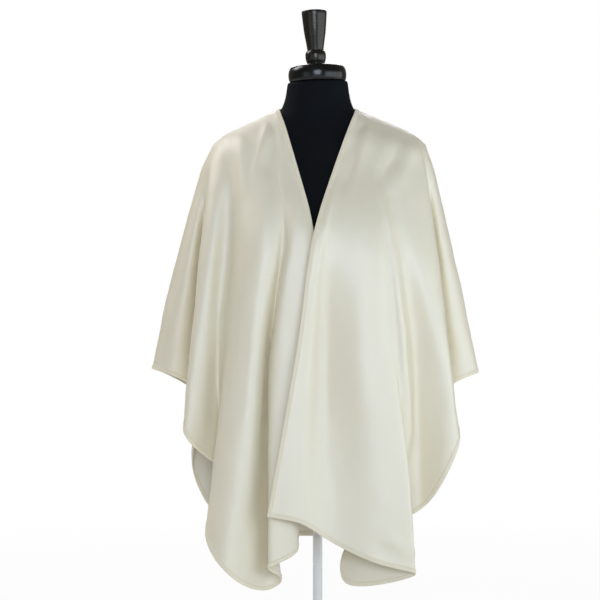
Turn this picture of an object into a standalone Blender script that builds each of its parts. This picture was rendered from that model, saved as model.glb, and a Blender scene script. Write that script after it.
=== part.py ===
"""A felted wool ruana worn by a limbless dress form on a pole and a round base.

The ruana is one wide cloth, slit up the front to the neck. It lies over the shoulders, the left front
laps over the right one, and both sides hang as wings beside the fronts and the back.

Frame: metres, +Z up. The wearer faces -Y, the wearer's right is -X, and the origin is the centre of
the base plate's underside.
"""

import math
from collections import namedtuple

import bmesh
import bpy
import numpy as np
from mathutils import Matrix

# ---------------------------------------------------------------- driving dimensions

CLOTH_WALL = 0.0020  # felted wool, about 2 mm
SEAM_GAP = 0.0003  # between pieces that are sewn together
SEAT_GAP = 0.0003  # between hard pieces that touch
BAND_WIDTH = 0.0075  # the turned edge along fronts, neck and hem
BAND_WALL = 0.0010
HEM_WALL = 0.0030  # the cloth turned and stitched along the hem
HEM_STEP = 0.0010  # height over which the hem's extra thickness comes in
FORM_CLEARANCE = 0.0031  # least distance from the form to the cloth's inner face
CLEARING_STEP = 0.020  # the furthest that one pass moves a point off the form
CLEARING_PASSES = 6

CHEST_HEIGHT = 0.860  # heights that the fold tables are read at
BUST_HEIGHT = 0.730
WAIST_DROP = 0.38  # shares of the way from the bust down to a fold's own hem
HIP_DROP = 0.72

NECK_HALF_WIDTH = 0.0725  # where the cloth meets the sides of the neck
NECK_CENTRE_Y = 0.010
NECK_EDGE_HEIGHT = 0.9715
NECK_BACK_DEPTH = 0.053
NECK_BACK_RISE = 0.006

BASE_RADIUS = 0.140
BASE_THICKNESS = 0.008
BASE_BEVEL = 0.002
BASE_SIDES = 48
POLE_RADIUS = 0.009
POLE_SIDES = 24
HUB_RADIUS = 0.0234
HUB_HEIGHT = 0.022
HUB_BEVEL = 0.003
HUB_SIDES = 32

HEAD_LEAN = math.radians(2.0)  # neck top, cap and finial lean to the wearer's right
NECK_TOP = 1.0235
LEAN_START = 0.985
FINIAL_CENTRE_X = -0.0020

FORM_RING_SIDES = 36
TURNED_STEPS = 28
SHARP_ANGLE = math.radians(40)
CLOTH_ROWS = 20
ROW_SPREAD = 1.45  # 1 spaces the rows evenly, more draws them together over the shoulders
HEM_ROW = 0.025  # share of a fold's length left below the last even row
FOLD_ROUNDING = 0.20  # how far on each side of a fold's line its two columns lie

# ---------------------------------------------------------------- the dress form

# Horizontal sections of the torso: half width, how far the front and the back stand from the centre
# plane, and how square the outline is (2 is an ellipse).
FormSection = namedtuple("FormSection", "height half_width front back squareness")
FORM_SECTIONS = (
    FormSection(0.3450, 0.146, 0.090, 0.092, 2.2),
    FormSection(0.3500, 0.154, 0.098, 0.100, 2.2),
    FormSection(0.3700, 0.161, 0.104, 0.106, 2.2),
    FormSection(0.4300, 0.166, 0.107, 0.112, 2.2),
    FormSection(0.5000, 0.150, 0.098, 0.098, 2.2),
    FormSection(0.5650, 0.126, 0.087, 0.080, 2.2),
    FormSection(0.6300, 0.131, 0.098, 0.084, 2.2),
    FormSection(0.6950, 0.146, 0.122, 0.096, 2.3),
    FormSection(0.7400, 0.154, 0.132, 0.102, 2.4),
    FormSection(0.7900, 0.160, 0.118, 0.108, 2.4),
    FormSection(0.8400, 0.172, 0.094, 0.110, 2.4),
    FormSection(0.8750, 0.184, 0.079, 0.101, 2.3),
    FormSection(0.8950, 0.188, 0.069, 0.091, 2.2),
    FormSection(0.9080, 0.182, 0.063, 0.084, 2.1),
    FormSection(0.9210, 0.165, 0.058, 0.078, 2.0),
    FormSection(0.9365, 0.136, 0.053, 0.071, 2.0),
    FormSection(0.9530, 0.099, 0.050, 0.064, 2.0),
    FormSection(0.9670, 0.0740, 0.049, 0.059, 2.0),
    FormSection(0.9810, 0.0655, 0.049, 0.056, 2.0),
    FormSection(1.0000, 0.0605, 0.049, 0.053, 2.0),
    FormSection(NECK_TOP, 0.0575, 0.049, 0.051, 2.0),
)

# Turned profiles, from the top down: radius and height above the neck's top face.
TurnedPoint = namedtuple("TurnedPoint", "radius height")
CAP_PROFILE = (
    TurnedPoint(0.0470, 0.0320),
    TurnedPoint(0.0515, 0.0295),
    TurnedPoint(0.0540, 0.0250),
    TurnedPoint(0.0548, 0.0185),
    TurnedPoint(0.0548, 0.0080),
    TurnedPoint(0.0535, 0.0030),
    TurnedPoint(0.0505, 0.0003),
)
FINIAL_PROFILE = (
    TurnedPoint(0.0205, 0.1370),
    TurnedPoint(0.0232, 0.1355),
    TurnedPoint(0.0238, 0.1310),
    TurnedPoint(0.0232, 0.1230),
    TurnedPoint(0.0205, 0.0950),
    TurnedPoint(0.0175, 0.0760),
    TurnedPoint(0.0158, 0.0640),
    TurnedPoint(0.0155, 0.0605),
    TurnedPoint(0.0175, 0.0585),
    TurnedPoint(0.0193, 0.0540),
    TurnedPoint(0.0195, 0.0480),
    TurnedPoint(0.0187, 0.0420),
    TurnedPoint(0.0170, 0.0370),
    TurnedPoint(0.0160, 0.0323),
)

# ---------------------------------------------------------------- the ruana's folds

# The line where the cloth turns over the shoulders: share of the way from neck to tip, then the
# place on the wearer's right and left.
ShoulderPoint = namedtuple("ShoulderPoint", "share right left y height")
SHOULDER_LINE = (
    ShoulderPoint(0.00, -NECK_HALF_WIDTH, NECK_HALF_WIDTH, NECK_CENTRE_Y, NECK_EDGE_HEIGHT),
    ShoulderPoint(0.25, -0.101, 0.104, 0.009, 0.9575),
    ShoulderPoint(0.55, -0.140, 0.146, 0.007, 0.9400),
    ShoulderPoint(0.80, -0.173, 0.180, 0.006, 0.9235),
    ShoulderPoint(1.00, -0.197, 0.203, 0.005, 0.9050),
)

# One row for each fold of a front, from its free edge to the ridge of the wing. Start is the place on
# the shoulder line, then x and y of the cloth's inner face at the chest, bust, waist and hip, and
# x, y and height of its hem.
Fold = namedtuple("Fold", "name start chest bust waist hip hem")
RIGHT_WING = Fold("wing ridge", 1.0, (-0.2180, 0.006), (-0.256, 0.006), (-0.282, 0.008), (-0.302, 0.012),
                  (-0.318, 0.015, 0.480))
LEFT_WING = Fold("wing ridge", 1.0, (0.2190, 0.006), (0.250, 0.006), (0.273, 0.008), (0.293, 0.012),
                 (0.310, 0.015, 0.473))

RIGHT_FRONT_FOLDS = (
    Fold("free edge", 0.00, (-0.0398, -0.082), (-0.009, -0.142), (-0.014, -0.138), (-0.026, -0.130),
         (-0.050, -0.124, 0.168)),
    Fold("edge roll", 0.10, (-0.050, -0.083), (-0.022, -0.146), (-0.026, -0.146), (-0.028, -0.143),
         (-0.031, -0.140, 0.154)),
    Fold("edge face", 0.16, (-0.060, -0.083), (-0.039, -0.147), (-0.052, -0.151), (-0.060, -0.152),
         (-0.065, -0.152, 0.130)),
    Fold("edge pleat", 0.28, (-0.075, -0.083), (-0.057, -0.143), (-0.080, -0.150), (-0.092, -0.154),
         (-0.099, -0.154, 0.119)),
    Fold("pleat return", 0.31, (-0.079, -0.083), (-0.062, -0.138), (-0.089, -0.126), (-0.084, -0.127),
         (-0.060, -0.124, 0.096)),
    Fold("deep valley", 0.34, (-0.083, -0.083), (-0.067, -0.137), (-0.0915, -0.1055), (-0.090, -0.102),
         (-0.086, -0.107, 0.074)),
    Fold("valley rise", 0.38, (-0.089, -0.083), (-0.075, -0.140), (-0.106, -0.136), (-0.1165, -0.141),
         (-0.122, -0.140, 0.079)),
    Fold("column front", 0.46, (-0.106, -0.082), (-0.101, -0.143), (-0.118, -0.153), (-0.143, -0.163),
         (-0.168, -0.166, 0.112)),
    Fold("column side", 0.60, (-0.132, -0.077), (-0.129, -0.128), (-0.151, -0.143), (-0.186, -0.139),
         (-0.208, -0.131, 0.177)),
    Fold("column back", 0.72, (-0.160, -0.068), (-0.170, -0.090), (-0.186, -0.088), (-0.181, -0.074),
         (-0.168, -0.066, 0.282)),
    Fold("outer face", 0.81, (-0.180, -0.058), (-0.194, -0.094), (-0.208, -0.106), (-0.211, -0.100),
         (-0.212, -0.086, 0.320)),
    Fold("outer fold", 0.88, (-0.198, -0.040), (-0.214, -0.077), (-0.227, -0.099), (-0.240, -0.107),
         (-0.249, -0.109, 0.361)),
    Fold("side valley", 0.92, (-0.205, -0.027), (-0.217, -0.012), (-0.222, -0.002), (-0.228, 0.006),
         (-0.232, 0.010, 0.440)),
    Fold("wing face", 0.96, (-0.212, -0.012), (-0.234, -0.029), (-0.250, -0.031), (-0.264, -0.027),
         (-0.275, -0.014, 0.468)),
    RIGHT_WING,
)

LEFT_FRONT_FOLDS = (
    Fold("free edge", 0.00, (0.0318, -0.083), (-0.008, -0.151), (-0.037, -0.160), (-0.067, -0.167),
         (-0.093, -0.171, 0.215)),
    Fold("edge face", 0.10, (0.0445, -0.084), (0.008, -0.152), (-0.014, -0.157), (-0.028, -0.167),
         (-0.030, -0.174, 0.204)),
    Fold("front trough", 0.20, (0.057, -0.084), (0.018, -0.144), (0.011, -0.139), (0.010, -0.144),
         (0.012, -0.155, 0.174)),
    Fold("front swell", 0.38, (0.078, -0.084), (0.085, -0.144), (0.084, -0.161), (0.105, -0.167),
         (0.108, -0.173, 0.129)),
    Fold("main fold", 0.55, (0.106, -0.082), (0.118, -0.136), (0.138, -0.151), (0.167, -0.162),
         (0.181, -0.166, 0.110)),
    Fold("fold return", 0.59, (0.112, -0.081), (0.126, -0.131), (0.148, -0.144), (0.132, -0.128),
         (0.047, -0.118, 0.086)),
    Fold("return rise", 0.63, (0.118, -0.080), (0.134, -0.130), (0.160, -0.144), (0.161, -0.122),
         (0.050, -0.095, 0.155)),
    Fold("outer trough", 0.70, (0.129, -0.078), (0.148, -0.114), (0.176, -0.108), (0.187, -0.097),
         (0.194, -0.090, 0.222)),
    Fold("outer face", 0.80, (0.162, -0.067), (0.178, -0.107), (0.218, -0.121), (0.238, -0.119),
         (0.233, -0.110, 0.277)),
    Fold("outer fold", 0.88, (0.197, -0.041), (0.216, -0.074), (0.234, -0.096), (0.249, -0.108),
         (0.262, -0.106, 0.352)),
    Fold("side valley", 0.92, (0.2035, -0.021), (0.218, -0.012), (0.224, -0.002), (0.234, 0.006),
         (0.240, 0.010, 0.436)),
    Fold("wing face", 0.96, (0.2125, -0.016), (0.233, -0.029), (0.249, -0.031), (0.262, -0.028),
         (0.273, -0.014, 0.462)),
    LEFT_WING,
)

# The back's folds, from the left wing to the right one. Start runs from 2 at the left shoulder tip over
# 1 and -1 at the sides of the neck to -2 at the right shoulder tip.
BACK_FOLDS = (
    Fold("left wing back", 1.96, (0.214, 0.024), (0.242, 0.035), (0.265, 0.047), (0.278, 0.056),
         (0.285, 0.059, 0.466)),
    Fold("left side valley", 1.92, (0.207, 0.040), (0.226, 0.056), (0.228, 0.060), (0.225, 0.062),
         (0.221, 0.061, 0.424)),
    Fold("left back fold", 1.87, (0.199, 0.057), (0.220, 0.086), (0.234, 0.104), (0.242, 0.112),
         (0.243, 0.116, 0.302)),
    Fold("left back trough", 1.70, (0.168, 0.089), (0.182, 0.107), (0.190, 0.112), (0.194, 0.112),
         (0.196, 0.111, 0.226)),
    Fold("left blade ridge", 1.38, (0.122, 0.107), (0.137, 0.126), (0.146, 0.140), (0.152, 0.150),
         (0.156, 0.155, 0.172)),
    Fold("left inner trough", 1.00, (0.076, 0.113), (0.086, 0.123), (0.092, 0.124), (0.096, 0.121),
         (0.099, 0.119, 0.151)),
    Fold("left centre swell", 0.55, (0.040, 0.115), (0.044, 0.129), (0.047, 0.138), (0.050, 0.145),
         (0.053, 0.149, 0.147)),
    Fold("centre trough", 0.10, (0.006, 0.115), (0.004, 0.125), (0.000, 0.128), (-0.003, 0.128),
         (-0.006, 0.127, 0.149)),
    Fold("right centre ridge", -0.50, (-0.040, 0.115), (-0.048, 0.130), (-0.054, 0.143), (-0.060, 0.153),
         (-0.064, 0.159, 0.146)),
    Fold("right inner trough", -1.00, (-0.088, 0.112), (-0.100, 0.122), (-0.110, 0.122), (-0.116, 0.118),
         (-0.120, 0.115, 0.152)),
    Fold("right blade ridge", -1.45, (-0.130, 0.106), (-0.144, 0.127), (-0.157, 0.140), (-0.165, 0.148),
         (-0.170, 0.152, 0.172)),
    Fold("right back trough", -1.72, (-0.170, 0.088), (-0.186, 0.106), (-0.197, 0.112), (-0.204, 0.113),
         (-0.210, 0.113, 0.207)),
    Fold("right back fold", -1.87, (-0.198, 0.057), (-0.217, 0.088), (-0.232, 0.106), (-0.241, 0.115),
         (-0.245, 0.118, 0.286)),
    Fold("right side valley", -1.92, (-0.206, 0.040), (-0.224, 0.058), (-0.227, 0.062), (-0.224, 0.064),
         (-0.219, 0.063, 0.420)),
    Fold("right wing back", -1.96, (-0.213, 0.024), (-0.244, 0.037), (-0.270, 0.048), (-0.285, 0.057),
         (-0.292, 0.060, 0.469)),
)

# Where a fold's stations lie along its length, from the shoulder to the hem. The second one rounds
# the shoulder, this far from the chest back towards the shoulder line.
STATION_KNOTS = (0.0, 0.075, 0.15, 0.32, 0.55, 0.79, 1.0)
ROUNDING_ACROSS = 0.64
ROUNDING_BACK = 0.34
ROUNDING_UP = 0.66

# ---------------------------------------------------------------- finishes

Finish = namedtuple("Finish", "colour roughness metallic")
IVORY_WOOL = Finish((0.80, 0.77, 0.68, 1.0), 0.85, 0.0)
IVORY_EDGE = Finish((0.78, 0.74, 0.64, 1.0), 0.80, 0.0)
BLACK_JERSEY = Finish((0.004, 0.005, 0.006, 1.0), 0.80, 0.0)
BLACK_LACQUER = Finish((0.006, 0.006, 0.007, 1.0), 0.18, 0.0)
WHITE_ENAMEL = Finish((0.85, 0.85, 0.84, 1.0), 0.35, 0.0)


# ---------------------------------------------------------------- curves and sections


def curve_through(knots, values, places):
    """Values at the given places of a smooth curve: a cubic between each two knots, its slope at a
    knot weighed from both sides."""
    knots = np.asarray(knots, float)
    values = np.asarray(values, float)
    steps = np.diff(knots)
    slopes = np.diff(values, axis=0) / steps[:, None]
    tangents = np.empty_like(values)
    tangents[0], tangents[-1] = slopes[0], slopes[-1]
    weight = (steps[1:] / (steps[1:] + steps[:-1]))[:, None]
    tangents[1:-1] = weight * slopes[:-1] + (1 - weight) * slopes[1:]
    span = np.clip(np.searchsorted(knots, places, side="right") - 1, 0, len(steps) - 1)
    t = ((np.asarray(places) - knots[span]) / steps[span])[:, None]
    step = steps[span][:, None]
    start, end = values[span], values[span + 1]
    start_pull, end_pull = tangents[span] * step, tangents[span + 1] * step
    return (start * (2 * t**3 - 3 * t**2 + 1) + start_pull * (t**3 - 2 * t**2 + t)
            + end * (3 * t**2 - 2 * t**3) + end_pull * (t**3 - t**2))


def form_outline(heights):
    """Half width, front, back and squareness of the torso at each height."""
    table = np.array(FORM_SECTIONS)
    low, high = table[0, 0], table[-1, 0]
    return curve_through(table[:, 0], table[:, 1:], np.clip(heights, low, high))


def form_distance(points):
    """About how far each point stands outside the torso's surface, and the way out from it."""

    def reach(p):
        half_width, front, back, squareness = form_outline(p[:, 2]).T
        depth = np.where(p[:, 1] < 0, front, back)
        across = np.abs(p[:, 0]) / half_width
        along = np.abs(p[:, 1]) / depth
        return (across**squareness + along**squareness) ** (1 / squareness) - 1

    step = 0.0005
    centre = reach(points)
    slope = np.stack([(reach(points + step * axis) - reach(points - step * axis)) / (2 * step)
                      for axis in np.eye(3)], axis=1)
    steepness = np.linalg.norm(slope, axis=1)
    return centre / steepness, slope / steepness[:, None]


def kept_clear(points, clearance):
    """The points, each moved straight off the torso until it stands clear of it."""
    flat = points.reshape(-1, 3).copy()
    for _ in range(CLEARING_PASSES):
        distance, outward = form_distance(flat)
        short = np.clip(clearance - distance, 0, CLEARING_STEP)
        short[flat[:, 2] < FORM_SECTIONS[0].height] = 0
        flat += outward * short[:, None]
    return flat.reshape(points.shape)


def top_line(start):
    """The cloth's highest line: neck edge behind the neck, shoulder lines on both sides."""
    side = -1 if start < 0 else 1
    if abs(start) < 1:
        angle = abs(start) * math.pi / 2
        return np.array((side * NECK_HALF_WIDTH * math.sin(angle),
                         NECK_CENTRE_Y + NECK_BACK_DEPTH * math.cos(angle),
                         NECK_EDGE_HEIGHT + NECK_BACK_RISE * math.cos(angle)))
    places = [(p.left if side > 0 else p.right, p.y, p.height) for p in SHOULDER_LINE]
    return curve_through([p.share for p in SHOULDER_LINE], places, [abs(start) - 1])[0]


def fold_line(fold, start, stations):
    """Points down one fold, from the shoulder to the hem."""
    top = top_line(start)
    drop = BUST_HEIGHT - fold.hem[2]
    chest = np.array((*fold.chest, CHEST_HEIGHT))
    knots = [
        top,
        chest + (top - chest) * (ROUNDING_ACROSS, ROUNDING_BACK, ROUNDING_UP),
        chest,
        (*fold.bust, BUST_HEIGHT),
        (*fold.waist, BUST_HEIGHT - WAIST_DROP * drop),
        (*fold.hip, BUST_HEIGHT - HIP_DROP * drop),
        fold.hem,
    ]
    over_the_top = (top[0], 2 * top[1] - knots[1][1], knots[1][2])
    return curve_through((-STATION_KNOTS[1], *STATION_KNOTS), [over_the_top, *knots], stations)


def cloth_sheet():
    """The whole cloth as one list: every fold with its place on the top line, from the left front's
    free edge round the back to the right front's."""
    left = [(fold, 1 + fold.start) for fold in LEFT_FRONT_FOLDS]
    back = [(fold, fold.start) for fold in BACK_FOLDS]
    right = [(fold, -1 - fold.start) for fold in reversed(RIGHT_FRONT_FOLDS)]
    return left + back + right


def sheet_lines(sheet, stations):
    return np.stack([fold_line(fold, start, stations) for fold, start in sheet])


def panel_places(first, last):
    """Places across the folds: the panel's two edges, and one on each side of every fold."""
    inner = [fold + share for fold in range(first, last) for share in (FOLD_ROUNDING, 1 - FOLD_ROUNDING)]
    return np.array([first, *inner, last])


def panel_grid(sheet, first, last):
    """The inner face of the cloth between two of its folds, as rows of points: the first row is the
    top line, the rows are closest over the shoulders, and a narrow last row is the turned hem."""
    stations = np.append(np.linspace(0, 1, CLOTH_ROWS - 1) ** ROW_SPREAD, 1 - HEM_ROW)
    stations.sort()
    lines = sheet_lines(sheet, stations)
    places = panel_places(first, last)
    indices = np.arange(len(sheet))
    grid = []
    for points in lines.swapaxes(0, 1):
        chord = np.linalg.norm(np.diff(points, axis=0), axis=1) ** 0.5
        knots = np.concatenate(([0], np.cumsum(chord)))
        grid.append(curve_through(knots, points, np.interp(places, indices, knots)))
    grid = np.array(grid)
    grid[0] = [top_line(start) for start in np.interp(places, indices, [start for _, start in sheet])]
    turned = [edge_offset(grid[-1], grid[-2], width) for width in (BAND_WIDTH + HEM_STEP, BAND_WIDTH)]
    grid = np.concatenate((grid[:-1], turned, grid[-1:]))
    return kept_clear(grid, FORM_CLEARANCE)


def edge_offset(edge, inner, width):
    """Points at a set distance from an edge, towards the row or column inside it."""
    run = inner - edge
    return edge + run / np.linalg.norm(run, axis=-1, keepdims=True) * width


# ---------------------------------------------------------------- building objects


def clear_scene():
    for old in list(bpy.data.objects):
        bpy.data.objects.remove(old, do_unlink=True)


def collection_named(name):
    collection = bpy.data.collections.new(name)
    bpy.context.scene.collection.children.link(collection)
    return collection


def material_for(name, finish):
    material = bpy.data.materials.new(name)
    material.use_nodes = True
    shader = material.node_tree.nodes["Principled BSDF"]
    shader.inputs["Base Color"].default_value = finish.colour
    shader.inputs["Roughness"].default_value = finish.roughness
    shader.inputs["Metallic"].default_value = finish.metallic
    material.diffuse_color = finish.colour
    return material


def add_object(name, mesh, material, collection, smooth=True):
    obj = bpy.data.objects.new(name, mesh)
    obj.data.materials.append(material)
    collection.objects.link(obj)
    if smooth:
        mesh.shade_smooth()
        mesh.set_sharp_from_angle(angle=SHARP_ANGLE)
    return obj


def sheet_faces(rows, columns, middle):
    """Triangles over a grid; their diagonals run down to the right before the middle column and down
    to the left after it, so that they start at the shoulder tips."""
    faces = []
    for row in range(rows - 1):
        for column in range(columns - 1):
            top_left = row * columns + column
            top_right, low_left, low_right = top_left + 1, top_left + columns, top_left + columns + 1
            if column < middle:
                faces += [(top_left, low_left, low_right), (top_left, low_right, top_right)]
            else:
                faces += [(top_left, low_left, top_right), (top_right, low_left, low_right)]
    return faces


def add_wall(name, grid, middle, thickness, material, collection):
    """A cloth wall that stands out by its thickness from a sheet of triangles through the grid.
    Returns the object and the sheet's normals at the grid's points."""
    rows, columns = grid.shape[:2]
    mesh = bpy.data.meshes.new(name)
    mesh.from_pydata(grid.reshape(-1, 3).tolist(), [], sheet_faces(rows, columns, middle))
    obj = add_object(name, mesh, material, collection)
    wall = obj.modifiers.new("wall", "SOLIDIFY")
    wall.thickness = thickness
    wall.offset = 1.0
    wall.use_even_offset = False
    return obj, np.array([vertex.normal for vertex in mesh.vertices]).reshape(grid.shape)


def add_panel(name, grid, middle, material, collection):
    """A panel of the cloth; its last two rows are the turned hem, as thick as the cloth and a band."""
    obj, normals = add_wall(name, grid, middle, HEM_WALL, material, collection)
    rows, columns = grid.shape[:2]
    group = obj.vertex_groups.new(name="thickness")
    group.add(range((rows - 2) * columns), CLOTH_WALL / HEM_WALL, "REPLACE")
    group.add(range((rows - 2) * columns, rows * columns), 1.0, "REPLACE")
    obj.modifiers["wall"].vertex_group = group.name
    return normals


def add_band(name, grid, middle, normals, material, collection):
    """A turned edge: a narrow strip on the panel's outer face."""
    add_wall(name, grid + normals * (CLOTH_WALL + SEAM_GAP), middle, BAND_WALL, material, collection)


def add_turned(name, profile, base, centre_x, material, collection):
    """A piece turned on a lathe, closed at top and bottom, that leans with the neck's top face."""
    rim = [(p.radius, 0, p.height) for p in profile]
    points = [(0, 0, profile[0].height), *rim, (0, 0, profile[-1].height)]
    mesh = bpy.data.meshes.new(name)
    mesh.from_pydata(points, [(i, i + 1) for i in range(len(points) - 1)], [])
    obj = add_object(name, mesh, material, collection, smooth=False)
    turn = obj.modifiers.new("turn", "SCREW")
    turn.steps = turn.render_steps = TURNED_STEPS
    turn.use_merge_vertices = True
    turn.merge_threshold = 0.00001
    turn.use_smooth_shade = True
    obj.location = (centre_x, 0, base)
    obj.rotation_euler = (0, -HEAD_LEAN, 0)
    return obj


def add_torso(material, collection):
    """The form's body: rings through its sections, with a flat floor and a leaning neck top."""
    heights = [section.height for section in FORM_SECTIONS]
    heights += [0.5 * (a + b) for a, b in zip(heights[7:], heights[8:])]
    heights.sort()
    verts, faces = [], []
    for half_width, front, back, squareness, height in np.column_stack((form_outline(heights), heights)):
        lean = max(0.0, (height - LEAN_START) / (NECK_TOP - LEAN_START)) * math.tan(HEAD_LEAN)
        for side in range(FORM_RING_SIDES):
            turn = 2 * math.pi * side / FORM_RING_SIDES
            cos, sin = math.cos(turn), math.sin(turn)
            x = half_width * math.copysign(abs(cos) ** (2 / squareness), cos)
            y = (back if sin > 0 else front) * math.copysign(abs(sin) ** (2 / squareness), sin)
            verts.append((x, y, height + lean * x))
    n = FORM_RING_SIDES
    for ring in range(len(heights) - 1):
        for side in range(n):
            a, b = ring * n + side, ring * n + (side + 1) % n
            faces.append((a, b, b + n, a + n))
    faces.append(tuple(reversed(range(n))))
    faces.append(tuple(range(len(verts) - n, len(verts))))
    mesh = bpy.data.meshes.new("form_torso")
    mesh.from_pydata(verts, [], faces)
    return add_object("form_torso", mesh, material, collection)


def add_disc(name, radius, heights, bevel, sides, material, collection):
    """A round plate or rod between two heights, its rims bevelled."""
    low, high = heights
    mesh = bpy.data.meshes.new(name)
    shape = bmesh.new()
    bmesh.ops.create_cone(shape, cap_ends=True, segments=sides, radius1=radius, radius2=radius,
                          depth=high - low, matrix=Matrix.Translation((0, 0, (high + low) / 2)))
    shape.to_mesh(mesh)
    shape.free()
    obj = add_object(name, mesh, material, collection)
    if bevel:
        rim = obj.modifiers.new("rim", "BEVEL")
        rim.width = bevel
        rim.segments = 2
        rim.limit_method = "ANGLE"
        rim.angle_limit = SHARP_ANGLE
    return obj


# ---------------------------------------------------------------- sub-assemblies


def build_stand(collection):
    """The round base, the pole on it and the hub that carries the torso."""
    enamel = material_for("white_enamel", WHITE_ENAMEL)
    torso_floor = FORM_SECTIONS[0].height
    hub_floor = torso_floor - SEAT_GAP - HUB_HEIGHT
    add_disc("stand_base", BASE_RADIUS, (0, BASE_THICKNESS), BASE_BEVEL, BASE_SIDES, enamel, collection)
    add_disc("stand_pole", POLE_RADIUS, (BASE_THICKNESS + SEAT_GAP, hub_floor - SEAT_GAP), 0, POLE_SIDES,
             enamel, collection)
    add_disc("stand_hub", HUB_RADIUS, (hub_floor, torso_floor - SEAT_GAP), HUB_BEVEL, HUB_SIDES, enamel,
             collection)


def build_form(collection):
    """The torso in its jersey, and the lacquered cap and finial on its neck."""
    jersey = material_for("black_jersey", BLACK_JERSEY)
    lacquer = material_for("black_lacquer", BLACK_LACQUER)
    add_torso(jersey, collection)
    add_turned("form_neck_cap", CAP_PROFILE, NECK_TOP, 0.0, lacquer, collection)
    add_turned("form_finial", FINIAL_PROFILE, NECK_TOP, FINIAL_CENTRE_X, lacquer, collection)


def build_ruana(collection):
    """The cloth's three stretches, which meet along the shoulders and the ridges of the wings."""
    wool = material_for("ivory_wool", IVORY_WOOL)
    edge = material_for("ivory_edge", IVORY_EDGE)
    sheet = cloth_sheet()
    left_wing = len(LEFT_FRONT_FOLDS) - 1
    right_wing = left_wing + len(BACK_FOLDS) + 1
    left = panel_grid(sheet, 0, left_wing)
    back = panel_grid(sheet, left_wing, right_wing)
    right = panel_grid(sheet, right_wing, len(sheet) - 1)
    for joined, apart in ((left, -SEAM_GAP / 2), (right, -SEAM_GAP / 2), (back, SEAM_GAP / 2)):
        joined[0, :, 1] += apart
    for seam, apart in ((left[1:, -1], -SEAM_GAP / 2), (right[1:, 0], -SEAM_GAP / 2),
                        (back[1:, 0], SEAM_GAP / 2), (back[1:, -1], SEAM_GAP / 2)):
        seam[:, 1] += apart
    build_front("left", left, wool, edge, collection)
    build_front("right", right[:, ::-1], wool, edge, collection)
    add_panel("ruana_back", back, back.shape[1] // 2, wool, collection)


def build_front(side, grid, wool, edge, collection):
    """A front whose columns run from its free edge to the wing, with a band down the free edge."""
    grid[:, 1] = edge_offset(grid[:, 0], grid[:, 2], BAND_WIDTH)
    turn, middle = (1, 0) if side == "left" else (-1, grid.shape[1])
    normals = add_panel(f"ruana_front_{side}", grid[:, ::turn], middle, wool, collection)[:, ::turn]
    strip = slice(None, -3), slice(None, 2)
    add_band(f"edge_band_front_{side}", grid[strip][:, ::turn], middle, normals[strip][:, ::turn], edge,
             collection)


def main():
    clear_scene()
    ruana = collection_named("ruana on a dress form")
    build_stand(ruana)
    build_form(ruana)
    build_ruana(ruana)


main()
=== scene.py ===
"""Dressing of a felted wool ruana worn by a limbless dress form on a pole and a round base.

The cloth is one continuous sheet: it starts at the left front's free edge, goes round the left wing, the
back and the right wing, and ends at the right front's free edge. Its folds come from the same table as the
solids' own, and soft creases are laid over them.

Frame: metres, +Z up. The wearer faces -Y and the wearer's right is -X.
"""

import logging
import math
from collections.abc import Callable, Sequence
from dataclasses import dataclass
from enum import Enum
from typing import Any, NamedTuple

import bpy
import numpy as np
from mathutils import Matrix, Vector, noise


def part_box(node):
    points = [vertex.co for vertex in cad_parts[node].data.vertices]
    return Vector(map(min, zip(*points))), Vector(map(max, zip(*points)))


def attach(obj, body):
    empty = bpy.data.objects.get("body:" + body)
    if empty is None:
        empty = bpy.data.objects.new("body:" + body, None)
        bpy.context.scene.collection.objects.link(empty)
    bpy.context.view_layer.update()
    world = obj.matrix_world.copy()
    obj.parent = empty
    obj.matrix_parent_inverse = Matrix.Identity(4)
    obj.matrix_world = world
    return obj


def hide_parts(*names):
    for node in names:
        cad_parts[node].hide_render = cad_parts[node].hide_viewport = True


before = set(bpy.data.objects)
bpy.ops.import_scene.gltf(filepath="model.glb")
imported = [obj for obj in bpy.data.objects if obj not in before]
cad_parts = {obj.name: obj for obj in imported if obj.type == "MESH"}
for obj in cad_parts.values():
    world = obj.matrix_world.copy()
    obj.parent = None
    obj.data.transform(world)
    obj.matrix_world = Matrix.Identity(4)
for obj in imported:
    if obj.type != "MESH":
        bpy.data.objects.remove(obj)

LOG = logging.getLogger("ruana")
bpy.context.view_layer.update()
BODY = "root"

Colour = tuple[float, float, float]
Place = tuple[float, float]
Place3 = tuple[float, float, float]


# ---------------------------------------------------------------- shader maths


class Grain(NamedTuple):
    """A noise over a surface: its scale, detail and roughness, and the two values it fades in between."""

    scale: float
    detail: float = 2.0
    roughness: float = 0.5
    fade: Place = (0.0, 1.0)


class Relief(NamedTuple):
    """A bump: its depth in metres and its strength."""

    depth: float
    strength: float


class Value:
    """A quantity that varies over a surface, for plain arithmetic."""

    def __init__(self, shader: "Shader", socket: bpy.types.NodeSocket) -> None:
        """Wraps an output socket of a shader's node."""
        self.shader = shader
        self.socket = socket

    def _maths(self, operation: str, first: Any, second: Any) -> "Value":
        """Adds one Math node and returns its result."""
        node = self.shader.node("ShaderNodeMath", {"operation": operation}, {0: first, 1: second})
        return Value(self.shader, node.outputs[0])

    def __add__(self, other: Any) -> "Value":
        """self + other, either way round."""
        return self._maths("ADD", self, other)

    def __rsub__(self, other: Any) -> "Value":
        """other - self."""
        return self._maths("SUBTRACT", other, self)

    def __mul__(self, other: Any) -> "Value":
        """self * other, either way round."""
        return self._maths("MULTIPLY", self, other)

    __radd__, __rmul__ = __add__, __mul__

    def between(self, low: float, high: float) -> "Value":
        """A mask that rises smoothly from 0 at low to 1 at high."""
        node = self.shader.node("ShaderNodeMapRange", {"interpolation_type": "SMOOTHSTEP"},
                                {"Value": self, "From Min": low, "From Max": high})
        return Value(self.shader, node.outputs["Result"])


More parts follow.
